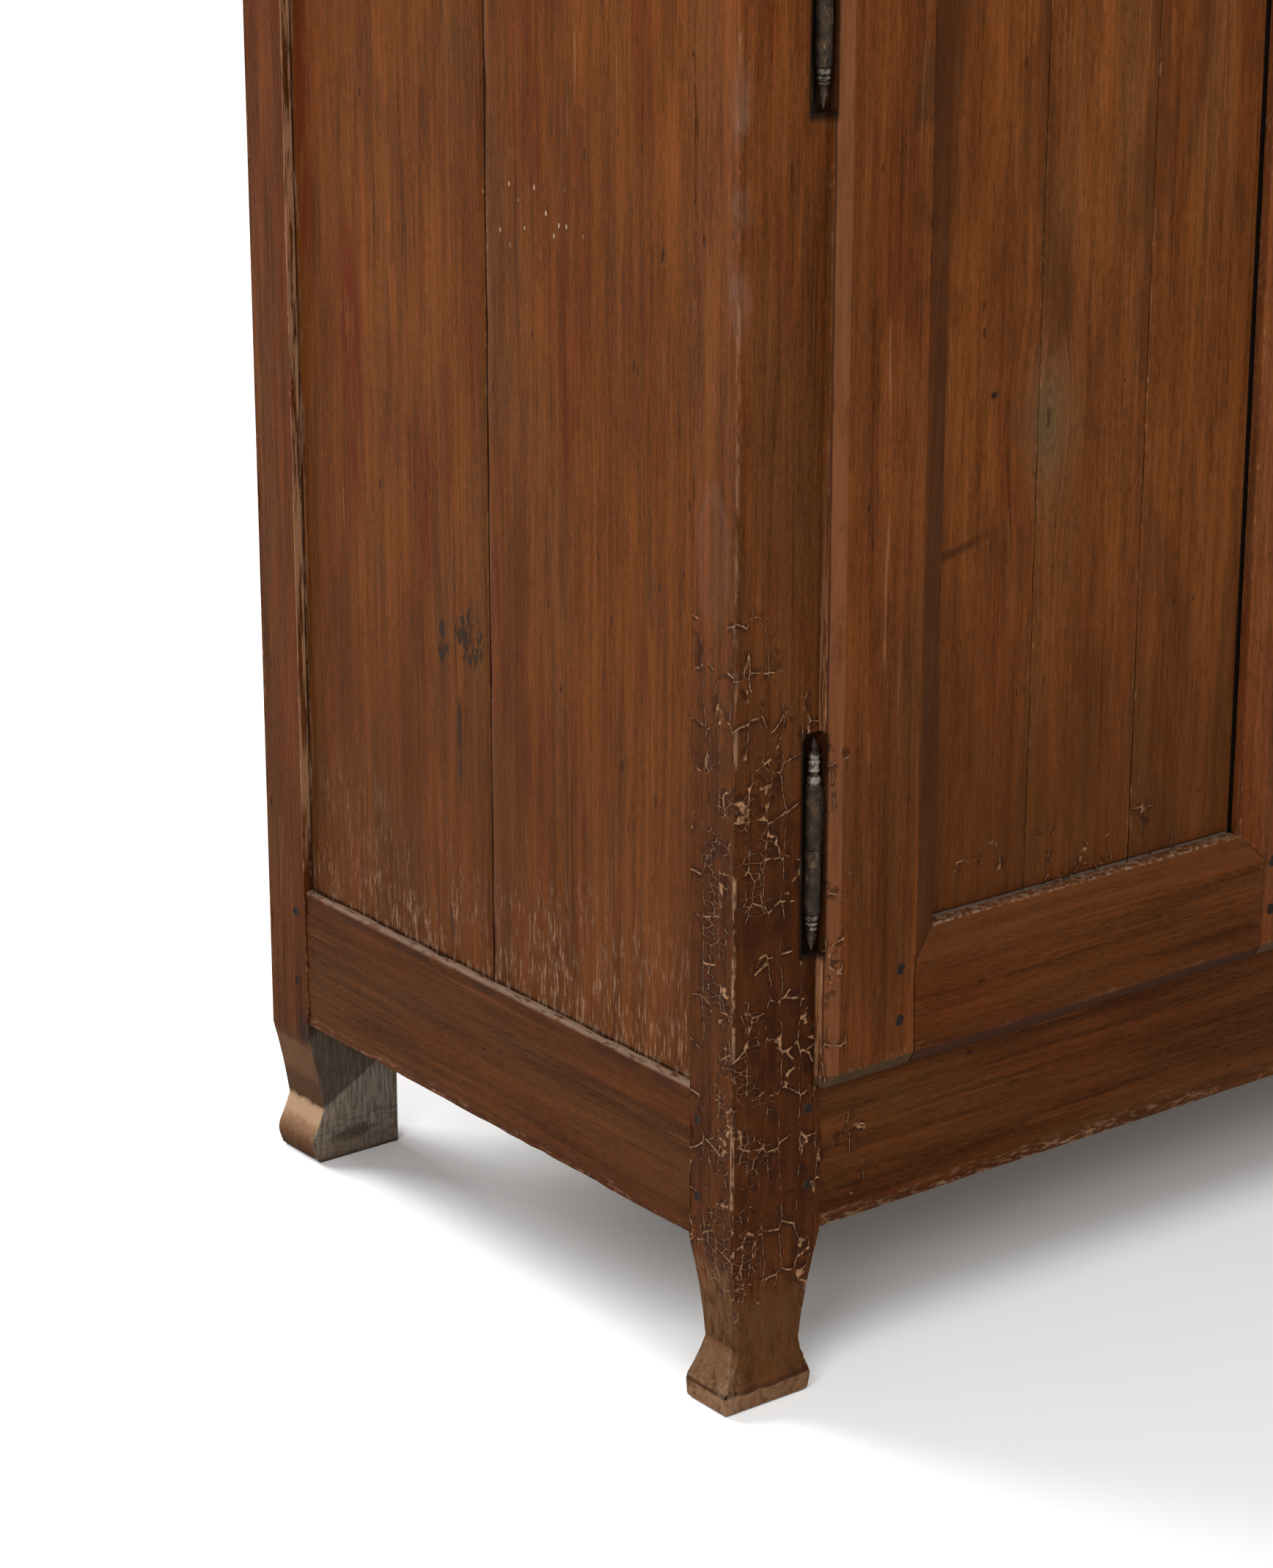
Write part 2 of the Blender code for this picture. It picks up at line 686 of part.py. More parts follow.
def end_cutter(name, label, side_name):
    """The cutter that gives the end of a stile or the edge of a rail its moulding and rebate."""
    sign = 1 if label == "bottom" else -1
    edge = door_bottom if label == "bottom" else door_top
    core = door_overlap + door_clearance
    outline = [(front + back, edge + sign * across) for across, back in edge_profile(edge_moulding_end)]
    far = edge - sign * 2 * door_overlap
    outline += [(front - 2 * door_proud, edge + sign * edge_moulding_end),
                (front - 2 * door_proud, far), (front + 2 * door_inset, far),
                (front + 2 * door_inset, edge + sign * core), (front - gap, edge + sign * core)]
    side = SIDES[side_name]
    return outline_solid(name, outline, "yz", side * (door_inner - door_overlap),
                         side * (door_outer + door_overlap), tool=True)


def trim_stile_end(piece, label, side_name, edge_name, lip_out, inward):
    cut(piece, end_cutter(f"{piece.name}_{label}_edge", label, side_name))


def door_rail(side_name, label, outer_one, inner_one):
    """A door rail with mitred bevel ends, tenoned into both stiles and grooved for the panel."""
    side = SIDES[side_name]
    sign = 1 if label == "bottom" else -1
    lip = door_bottom if label == "bottom" else door_top
    flat = rail_flat_bottom if label == "bottom" else rail_flat_top
    flat_end = lip + sign * (edge_moulding_end + flat)
    inner_edge = flat_end + sign * bevel_width
    outline = [(front - door_proud, lip), (front - door_proud, flat_end),
               (front - door_proud + bevel_drop, inner_edge), (front + door_inset, inner_edge),
               (front + door_inset, lip)]
    joint = edge_moulding_side + stile_flat
    low_out = door_inner + joint + gap
    high_out = door_outer - joint - gap
    name = f"{side_name}_door_{label}_rail"
    piece = outline_solid(name, outline, "yz", side * low_out, side * high_out)
    cut(piece, end_cutter(f"{name}_edge", label, side_name))
    reach = 3 * bevel_width
    for end_out, inward in ((low_out, 1), (high_out, -1)):
        wedge = [(side * (end_out - inward * bevel_width), flat_end - sign * bevel_width),
                 (side * (end_out - inward * bevel_width), inner_edge + sign * reach),
                 (side * (end_out + inward * (bevel_width + reach)), inner_edge + sign * reach)]
        cut(piece, outline_solid(f"{name}_mitre_{'outer' if inward < 0 else 'inner'}", wedge, "xz",
                                 front - 2 * door_proud, front + 2 * door_inset, tool=True))
    panel_front = front + door_panel_setback
    panel_back = panel_front + door_panel_thickness
    for end_out, outward, receiver in ((low_out, -1, inner_one), (high_out, 1, outer_one)):
        shoulder = end_out + outward * gap
        ends = sorted((side * shoulder, side * (shoulder + outward * door_tenon_length)))
        heights = sorted((lip + sign * (door_overlap + tenon_shoulder), flat_end - sign * gap))
        tenon(piece, (ends[0], panel_front, heights[0]), (ends[1], panel_back, heights[1]),
              receiver, 0, -side * outward * tenon_shoulder)
    cut(piece, box(f"{name}_groove",
                   (side * (low_out - door_tenon_length), panel_front - gap,
                    inner_edge - sign * groove_depth),
                   (side * (high_out + door_tenon_length), panel_back + gap,
                    inner_edge + sign * groove_depth), tool=True))
    return finish(piece, "waxed_wood")


def door_boards(side_name):
    """The upright boards of a door's panel."""
    side = SIDES[side_name]
    visible_inner = door_inner + edge_moulding_side + stile_flat + bevel_width
    visible_outer = door_outer - edge_moulding_side - stile_flat - bevel_width
    edges = [visible_outer + groove_depth - gap]
    joint = visible_outer
    for width in door_board_widths[side_name]:
        joint -= width
        edges.append(joint)
    edges.append(visible_inner - groove_depth + gap)
    low_y = front + door_panel_setback
    count = len(edges) - 1
    for index in range(count):
        start = edges[index] - (board_joint / 2 if index else 0)
        end = edges[index + 1] + (board_joint / 2 if index < count - 1 else 0)
        board = box(f"{side_name}_door_board_{index + 1}",
                    (side * start, low_y, panel_low() - groove_depth + gap),
                    (side * end, low_y + door_panel_thickness, panel_high() + groove_depth - gap))
        finish(board, "panel_wood")


def door(side_name):
    """One framed and panelled door. Its hinge stile is the outer one."""
    hinge_stile = stile(side_name, "hinge", door_outer, -1)
    free_stile = stile(side_name, "closing", door_inner, 1)
    for label in ("bottom", "top"):
        door_rail(side_name, label, hinge_stile, free_stile)
    door_boards(side_name)
    return {"hinge": hinge_stile, "closing": free_stile}


# ---------------------------------------------------------------- hinges
def finial_profile(length, radius):
    """(radius, height) points of a finial that stands on height 0, from its tip down."""
    return [(0, length), (0.25 * radius, 0.86 * length), (0.42 * radius, 0.78 * length),
            (0.30 * radius, 0.72 * length), (0.78 * radius, 0.62 * length),
            (0.78 * radius, 0.52 * length), (0.52 * radius, 0.47 * length),
            (0.82 * radius, 0.40 * length), (0.80 * radius, 0.30 * length),
            (0.48 * radius, 0.22 * length), (0.92 * radius, 0.12 * length)]


def hinge(side_name, label, height, post, hinge_stile):
    """A two-knuckle hinge: the upper knuckle lifts with the door, the lower one carries the pin."""
    side = SIDES[side_name]
    axis_x = side * hinge_out
    name = f"{side_name}_{label}_hinge"
    upper_profile = [(radius, knuckle_length + rise)
                     for radius, rise in finial_profile(upper_finial_length, knuckle_radius)]
    upper_profile += [(knuckle_radius, knuckle_length), (knuckle_radius, gap / 2), (0, gap / 2)]
    upper = turned_solid(f"{name}_upper_knuckle", upper_profile, (axis_x, hinge_y, height))
    lower_profile = [(0, -gap / 2), (knuckle_radius, -gap / 2), (knuckle_radius, -knuckle_length)]
    lower_profile += [(radius, -knuckle_length - rise)
                      for radius, rise in reversed(finial_profile(lower_finial_length, knuckle_radius))]
    lower = turned_solid(f"{name}_lower_knuckle", lower_profile, (axis_x, hinge_y, height))
    pin_base = (axis_x, hinge_y, height - pin_length / 2)
    pin_top = (axis_x, hinge_y, height + pin_length)
    join(lower, rod(f"{name}_pin", pin_base, pin_top, pin_radius, 12, tool=True))
    bore_top = (axis_x, hinge_y, height + pin_length + pin_clearance)
    cut(upper, rod(f"{name}_pin_bore", (axis_x, hinge_y, height - knuckle_radius), bore_top,
                   pin_radius + pin_clearance, 12, tool=True))

    half_leaf = leaf_thickness / 2
    start = pin_radius + (knuckle_radius - pin_radius) / 2
    leaf_low = (side * (hinge_out - start), hinge_y - half_leaf, height + leaf_inset)
    leaf_high = (side * (hinge_out - leaf_depth), hinge_y + half_leaf, height + knuckle_length - leaf_inset)
    join(upper, box(f"{name}_upper_leaf", leaf_low, leaf_high, tool=True))
    cut(hinge_stile, box(f"{name}_upper_leaf_slot", *grown(leaf_low, leaf_high, gap), tool=True))
    leaf_low = (axis_x - half_leaf, hinge_y + start, height - knuckle_length + leaf_inset)
    leaf_high = (axis_x + half_leaf, hinge_y + leaf_depth, height - leaf_inset)
    join(lower, box(f"{name}_lower_leaf", leaf_low, leaf_high, tool=True))
    cut(post, box(f"{name}_lower_leaf_slot", *grown(leaf_low, leaf_high, gap), tool=True))

    recess_low = height - knuckle_length - lower_finial_length - recess_end
    recess_high = height + knuckle_length + upper_finial_length + recess_end
    around = knuckle_radius + recess_side
    cut(post, rod(f"{name}_post_recess", (axis_x, hinge_y, recess_low), (axis_x, hinge_y, recess_high),
                  around, 12, tool=True))
    cut(post, box(f"{name}_post_recess_side", (side * (opening_outer - gap), front - around, recess_low),
                  (axis_x, hinge_y + around, recess_high), tool=True))
    cut(hinge_stile, box(f"{name}_door_recess", (side * (hinge_out - around - recess_side),
                         front - 2 * door_proud, recess_low),
                         (side * (hinge_out + around), front + around, recess_high), tool=True))
    finish(upper, "aged_iron")
    finish(lower, "aged_iron")


# ---------------------------------------------------------------- lock
def lock(closing_stile):
    """A box lock on the inside of the right door, with its bolt, key and escutcheon."""
    back_face = front + door_inset
    case_low = (lock_middle_out, back_face + gap, lock_height - lock_case_height / 2)
    case_high = (lock_middle_out + lock_case_width, back_face + lock_case_depth,
                 lock_height + lock_case_height / 2)
    case = box("lock_case", case_low, case_high)
    inner_low = [value + lock_plate for value in case_low]
    inner_high = [value - lock_plate for value in case_high]
    inner_low[1] = back_face - lock_case_depth
    cut(case, box("lock_case_inside", inner_low, inner_high, tool=True))

    bolt_low_y = front + centre_post_thickness + bolt_back
    bolt_low_z = lock_height + bolt_above_centre - bolt_height / 2
    bolt_low = (lock_middle_out - gap, bolt_low_y, bolt_low_z)
    bolt_high = (lock_middle_out + bolt_length, bolt_low_y + bolt_thickness, bolt_low_z + bolt_height)
    bolt = box("lock_bolt", bolt_low, bolt_high)
    window_low, window_high = grown(bolt_low, bolt_high, gap)
    window_low[0] = lock_middle_out - lock_case_width
    window_high[0] = lock_middle_out + 2 * lock_plate
    cut(case, box("lock_bolt_window", window_low, window_high, tool=True))
    finish(case, "aged_iron")
    finish(bolt, "key_iron")

    keyhole_cutters = [
        rod("keyhole_round", (keyhole_out, front - 3 * door_proud, keyhole_height),
            (keyhole_out, back_face + gap, keyhole_height), keyhole_radius, tool=True),
        box("keyhole_slot", (keyhole_out - keyhole_slot_width / 2, front - 3 * door_proud,
                             keyhole_height - keyhole_slot_drop),
            (keyhole_out + keyhole_slot_width / 2, back_face + gap, keyhole_height), tool=True)]
    plate_back = front - door_proud - gap
    half_plate_width = escutcheon_width / 2
    half_plate_height = escutcheon_height / 2
    plate_middle = keyhole_height - keyhole_slot_drop / 3
    oval = [(keyhole_out + half_plate_width * math.cos(step * math.pi / 12),
             plate_middle + half_plate_height * math.sin(step * math.pi / 12)) for step in range(24)]
    escutcheon = outline_solid("escutcheon", oval, "xz", plate_back - escutcheon_thickness, plate_back)
    for cutter in keyhole_cutters:
        cut(closing_stile, cutter)
        cut(escutcheon, cutter)
    finish(escutcheon, "aged_iron")
    key(plate_back - escutcheon_thickness, back_face)


def key(plate_front, back_face):
    """The key: a shank with a ring bow in front and a bit inside the lock case."""
    shank_end = back_face + lock_case_depth - lock_plate - 2 * gap
    bow_y = plate_front - key_reach
    piece = rod("key", (0, bow_y, 0), (0, shank_end, 0), key_radius)
    bm = bmesh.new()
    ring_segments = 20
    bar_segments = 8
    rings = []
    for step in range(ring_segments):
        turn = 2 * math.pi * step / ring_segments
        ring = []
        for point in range(bar_segments):
            bend = 2 * math.pi * point / bar_segments
            reach = key_bow_radius + key_bow_bar * math.cos(bend)
            ring.append(bm.verts.new((reach * math.cos(turn), key_bow_bar * math.sin(bend),
                                      reach * math.sin(turn))))
        rings.append(ring)
    for ring, following in zip(rings, rings[1:] + rings[:1]):
        for point in range(bar_segments):
            after = (point + 1) % bar_segments
            bm.faces.new((ring[point], ring[after], following[after], following[point]))
    bow = from_bmesh("key_bow", bm, tool=True)
    bow.rotation_euler = (0, 0, math.pi / 2)
    bow.location = (keyhole_out, bow_y - key_bow_radius, keyhole_height)
    bit_high_y = shank_end - gap
    bit = box("key_bit", (keyhole_out - key_bit_thickness / 2, bit_high_y - key_bit_length,
                          keyhole_height - key_bit_drop),
              (keyhole_out + key_bit_thickness / 2, bit_high_y, keyhole_height), tool=True)
    piece.location = (keyhole_out, 0, keyhole_height)
    join(piece, bow)
    join(piece, bit)
    finish(piece, "key_iron")


def turn_button():
    """A button on the back of the centre post that turns over the left door's back."""
    low_y = front + centre_post_thickness + gap
    half_length = turn_button_length / 2
    half_button = turn_button_width / 2
    ends = []
    for middle, start in ((half_length - half_button, 0), (-(half_length - half_button), math.pi)):
        for step in range(9):
            angle = start + step * math.pi / 8
            ends.append((half_button * math.cos(angle), middle + half_button * math.sin(angle)))
    piece = outline_solid("turn_button", ends, "xz", low_y, low_y + turn_button_thickness)
    piece.location = (-turn_button_out, 0, turn_button_height)
    join(piece, rod("turn_pin", (-turn_button_out, low_y - gap - turn_pin_reach, turn_button_height),
                    (-turn_button_out, low_y + turn_button_thickness / 2, turn_button_height),
                    turn_pin_radius, tool=True))
    return finish(piece, "raw_wood")


# ---------------------------------------------------------------- the whole armoire
def build():
    front_posts = {name: front_post(name) for name in SIDES}
    rear_posts = {name: rear_post(name) for name in SIDES}
    front_bottom = front_rail("bottom", rail_bottom, front_rail_top, front_posts)
    front_top = front_rail("top", top_rail_bottom, post_height, front_posts)
    rear_bottom = rear_rail("bottom", rail_bottom, side_rail_top, rear_posts)
    rear_rail("top", panel_top, post_height, rear_posts)
    for side_name in SIDES:
        side_rail(side_name, "bottom", rail_bottom, side_rail_top, front_posts[side_name],
                  rear_posts[side_name])
        side_rail(side_name, "top", panel_top, post_height, front_posts[side_name],
                  rear_posts[side_name])
        side_boards(side_name)
    cut_floor_rebates(front_bottom, rear_bottom)
    centre_post(front_bottom, front_top)
    back_boards()
    floor_board()
    for label, height in shelf_heights.items():
        shelf_and_battens(label, height)
    roof_board()
    cornice_front()
    for side_name in SIDES:
        cornice_side(side_name)
    for side_name in SIDES:
        stiles = door(side_name)
        for label, height in hinge_heights.items():
            hinge(side_name, label, height, front_posts[side_name], stiles["hinge"])
        if side_name == "right":
            lock(stiles["closing"])
    turn_button()


build()
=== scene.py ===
# %% [markdown]
# # A fruitwood armoire
# The real object is a tall country wardrobe in waxed cherry: posts, rails and boards pegged together,
# two framed doors on iron finial hinges, and small shaped feet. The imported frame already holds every
# piece at its real size and place. This lesson gives each piece its worn shape and its finish.

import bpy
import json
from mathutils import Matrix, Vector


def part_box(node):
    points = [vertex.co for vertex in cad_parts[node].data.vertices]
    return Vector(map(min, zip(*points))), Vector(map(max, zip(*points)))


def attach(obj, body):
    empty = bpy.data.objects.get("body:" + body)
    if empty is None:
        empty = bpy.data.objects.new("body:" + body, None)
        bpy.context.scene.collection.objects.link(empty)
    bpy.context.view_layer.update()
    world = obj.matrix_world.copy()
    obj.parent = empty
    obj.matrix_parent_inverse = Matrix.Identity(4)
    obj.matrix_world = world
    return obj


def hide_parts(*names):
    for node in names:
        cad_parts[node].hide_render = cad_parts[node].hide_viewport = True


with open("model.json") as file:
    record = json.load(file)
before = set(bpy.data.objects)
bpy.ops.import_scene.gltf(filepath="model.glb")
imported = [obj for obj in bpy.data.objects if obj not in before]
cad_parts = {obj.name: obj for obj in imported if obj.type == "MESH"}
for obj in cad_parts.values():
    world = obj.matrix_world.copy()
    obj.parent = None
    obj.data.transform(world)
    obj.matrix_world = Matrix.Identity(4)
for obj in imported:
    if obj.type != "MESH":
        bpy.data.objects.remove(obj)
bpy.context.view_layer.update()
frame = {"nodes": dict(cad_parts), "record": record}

# %% [markdown]
# Everything is placed from the frame: the carcass front is the face of the centre post, the side
# plane lies just outside the side rails, and each node's body comes from the record, whose material
# slots pick out the panel boards.

# %% Read places from the frame
import json
import math
import random

import bpy
import numpy as np
from mathutils import Vector, noise

record = frame["record"]
slot_of = {part["node"]: part["material_slot"] for part in record["subparts"]}
body_of = {node: body for body, nodes in record["behaviour"]["bodies"].items() for node in nodes}
rail_setback = 0.001
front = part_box("centre_post")[0].y
side_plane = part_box("right_bottom_side_rail")[1].x + rail_setback
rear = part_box("left_rear_post")[1].y
post_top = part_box("left_front_post")[1].z
print("front", round(front, 4), "side", round(side_plane, 4), "rear", round(rear, 4))


# %% [markdown]
# ## The studio
# A plain pale floor, a big soft light on the left, a weaker one on the right and pale walls all
# round. The camera stands a little above the hinge height and looks down at the left corner with a
# long lens, so only the lower left part of the armoire fills the frame.

# %% Floor, walls and lights
def deselect():
    """Start each operator with nothing selected."""
    if bpy.context.object and bpy.context.object.mode != "OBJECT":
        bpy.ops.object.mode_set(mode="OBJECT")
    bpy.ops.object.select_all(action="DESELECT")


def soft_light(name, place, aim, size, power):
    data = bpy.data.lights.new(name, "AREA")
    data.shape = "DISK"
    data.size = size
    data.energy = power
    lamp = bpy.data.objects.new(name, data)
    lamp.location = place
    lamp.rotation_euler = (Vector(aim) - Vector(place)).to_track_quat("-Z", "Y").to_euler()
    bpy.context.scene.collection.objects.link(lamp)


deselect()
bpy.ops.mesh.primitive_plane_add(size=40)
floor = bpy.context.object
floor.name = "studio_floor"
aim = (-0.3, 0, 0.8)
soft_light("left_softbox", (-3.8, -2.2, 2.8), aim, 2.2, 84)
soft_light("right_softbox", (1.2, -4.4, 3.0), aim, 2.2, 54)
soft_light("top_softbox", (-0.8, -1.8, 4.4), aim, 2.5, 60)
soft_light("back_softbox", (-2.5, 4.5, 4.0), (-3.0, 2.2, 0), 3.0, 300)
soft_light("far_softbox", (-1.5, 8.5, 4.0), (-1.0, 5.5, 0), 4.0, 500)
world = bpy.data.worlds.new("studio_walls")
world.use_nodes = True
world.node_tree.nodes["Background"].inputs["Color"].default_value = (1, 1, 1, 1)
world.node_tree.nodes["Background"].inputs["Strength"].default_value = 0.42
bpy.context.scene.world = world
bpy.context.scene.view_settings.view_transform = "Standard"

# %% [markdown]
# The camera looks past the left front corner with a long lens, level from side to side.

# %% Camera
view_from = Vector((-2.36304, -2.43788, 1.43276))
view_along = Vector((0.57407, 0.75226, -0.32334))
lens = bpy.data.cameras.new("camera")
lens.lens = 96.46
lens.sensor_width = 36.0
lens.clip_end = 100
camera = bpy.data.objects.new("camera", lens)
camera.location = view_from
camera.rotation_euler = view_along.to_track_quat("-Z", "Y").to_euler()
bpy.context.scene.collection.objects.link(camera)
bpy.context.scene.camera = camera


# %% [markdown]
# ## A short way to write materials
# A finish is a tree of nodes. Each call below adds one node and hands back its result, so a recipe
# reads from top to bottom. Every pattern reads Object coordinates or an attribute of the piece.

# %% The recipe book
class Finish:
    """One material, written as short calls."""

    def __init__(self, name, specular=0.3, metallic=0.0):
        self.material = bpy.data.materials.new(name)
        self.material.use_nodes = True
        self.tree = self.material.node_tree
        self.shader = self.tree.nodes["Principled BSDF"]
        self.shader.inputs["Specular IOR Level"].default_value = specular
        self.shader.inputs["Metallic"].default_value = metallic
        self.object_place = self.tree.nodes.new("ShaderNodeTexCoord").outputs["Object"]
        self.mirrored_place = self.vector("ABSOLUTE", self.scaled(self.object_place, (1, 0, 0)))
        self.mirrored_place = self.vector("ADD", self.mirrored_place,
                                          self.scaled(self.object_place, (0, 1, 1)))

    def put(self, value, socket):
        if isinstance(value, bpy.types.NodeSocket):
            self.tree.links.new(value, socket)
        else:
            socket.default_value = value

    def add(self, kind, settings=(), values=()):
        node = self.tree.nodes.new(kind)
        for key, value in dict(settings).items():
            setattr(node, key, value)
        for key, value in dict(values).items():
            self.put(value, node.inputs[key])
        return node

    def attribute(self, name):
        return self.add("ShaderNodeAttribute", {"attribute_name": name}).outputs["Fac"]

    def maths(self, operation, first, second=0.0):
        return self.add("ShaderNodeMath", {"operation": operation}, {0: first, 1: second}).outputs[0]

    def times(self, *values):
        result = values[0]
        for value in values[1:]:
            result = self.maths("MULTIPLY", result, value)
        return result

    def plus(self, *values):
        result = values[0]
        for value in values[1:]:
            result = self.maths("ADD", result, value)
        return result

    def highest(self, *values):
        result = values[0]
        for value in values[1:]:
            result = self.maths("MAXIMUM", result, value)
        return result

    def less(self, first, second):
        return self.maths("SUBTRACT", first, second)

    def distance(self, first, second):
        return self.maths("ABSOLUTE", self.less(first, second))

    def waver(self, value, pattern, amount):
        """Move a value up and down by a share of a pattern that lies round one half."""
        return self.plus(value, self.times(self.plus(pattern, -0.5), amount))

    def vector(self, operation, first, second=(0, 0, 0)):
        return self.add("ShaderNodeVectorMath", {"operation": operation}, {0: first, 1: second}).outputs[0]

    def scaled(self, place, factors):
        return self.vector("MULTIPLY", place, factors)

    def parts(self, place):
        return self.add("ShaderNodeSeparateXYZ", (), {0: place}).outputs

    def noise(self, place, scale, detail=3.0, roughness=0.5, distortion=0.0):
        return self.add("ShaderNodeTexNoise", (), {"Vector": place, "Scale": scale, "Detail": detail,
                        "Roughness": roughness, "Distortion": distortion}).outputs[0]

    def patches(self, *settings):
        """Noise that is as long as it is wide."""
        return self.noise(self.object_place, *settings)

    def streaks(self, factors, *settings):
        """Noise that is drawn out where a factor is below 1."""
        return self.noise(self.scaled(self.object_place, factors), *settings)

    def noise_vector(self, place, scale, detail=2.0):
        colour = self.add("ShaderNodeTexNoise", (), {"Vector": place, "Scale": scale,
                                                     "Detail": detail}).outputs[1]
        return self.vector("SUBTRACT", colour, (0.5, 0.5, 0.5))

    def cells(self, place, scale, feature="DISTANCE_TO_EDGE", randomness=1.0):
        return self.add("ShaderNodeTexVoronoi", {"feature": feature},
                        {"Vector": place, "Scale": scale, "Randomness": randomness}).outputs[0]

    def rise(self, value, start, end):
        """0 below start and 1 beyond end, or the other way round when start is the larger."""
        return self.add("ShaderNodeMapRange", {"interpolation_type": "SMOOTHSTEP"},
                        {0: value, 1: start, 2: end}).outputs[0]

    def band(self, value, start, end, soft):
        """1 between start and end, fading over soft on both sides."""
        return self.times(self.rise(value, start - soft, start), self.rise(value, end + soft, end))

    def ramp(self, value, stops):
        node = self.add("ShaderNodeValToRGB", (), {0: value})
        slots = node.color_ramp.elements
        while len(slots) < len(stops):
            slots.new(0.5)
        for slot, (place, colour) in zip(slots, stops):
            slot.position = place
            slot.color = (*colour, 1)
        return node.outputs[0]

    def mix(self, share, first, second, kind="MIX"):
        node = self.add("ShaderNodeMix", {"data_type": "RGBA", "blend_type": kind})
        self.put(share, node.inputs[0])
        for value, index in ((first, 6), (second, 7)):
            colour = value if isinstance(value, bpy.types.NodeSocket) else (*value, 1)
            self.put(colour, node.inputs[index])
        return node.outputs[2]

    def stain(self, colour, tone, *shares):
        """Lay a tone over a colour where all the shares reach."""
        return self.mix(self.times(*shares), colour, tone)

    def finish(self, colour, roughness, height, depth):
        """Wire the last results to the shader. depth is the height's real size in metres."""
        self.put(colour, self.shader.inputs["Base Color"])
        self.put(roughness, self.shader.inputs["Roughness"])
        bump = self.add("ShaderNodeBump", (), {"Height": height})
        bump.inputs["Distance"].default_value = depth
        bump.inputs["Strength"].default_value = 1.0
        self.put(bump.outputs[0], self.shader.inputs["Normal"])
        return self.material


# %% [markdown]
# The floor is a matt, nearly white paint with a faint cloud in it, so it doesn't look like paper.

# %% Studio floor finish
pale = Finish("studio_floor_paint", specular=0.1)
cloud = pale.noise(pale.object_place, 3.0, 3)
floor.data.materials.append(pale.finish(pale.ramp(cloud,
                                                  [(0.3, (0.92, 0.92, 0.92)), (0.7, (0.94, 0.94, 0.94))]),
                                        0.9, cloud, 0.0005))


# %% [markdown]
# ## Waxed cherry
# Old cherry is a warm brown that drifts between orange, olive and red. Fine fibres run with the
# grain, broken into short dashes, and dark pores and a few golden lines sit in them. Wear shows as
# paler wood on the arrises (attribute edge), and dust gathers in corners (attribute nook), which are
# also darkened with painted shade.
# One recipe makes all of it, for any grain direction, and a piece can add marks of its own.

# %% Grain directions
def along_grain(axis, ratio):
    """Scale factors that draw a pattern out along the grain."""
    return tuple(ratio if name == axis else 1.0 for name in "xyz")


board_shift = (7.3, 4.1, 2.9)


def shifted_place(made):
    """Object coordinates, moved by the piece's own number so that no two boards match."""
    board = made.add("ShaderNodeCombineXYZ", (), {i: made.attribute("board") for i in range(3)}).outputs[0]
    return made.vector("ADD", made.object_place, made.scaled(board, board_shift))


# %% [markdown]
# The recipe goes from large to small: drifts of hue, streaks and dashes that darken or lighten, a
# painted shade that darkens the wood towards the bottom, gold lines and pores, and last the wear, dust
# and painted shade from the piece's attributes.

# %% Waxed wood recipe
pore_brown = (0.022, 0.0085, 0.0045)
worn_tan = (0.30, 0.145, 0.070)
dust_grey = (0.27, 0.20, 0.145)


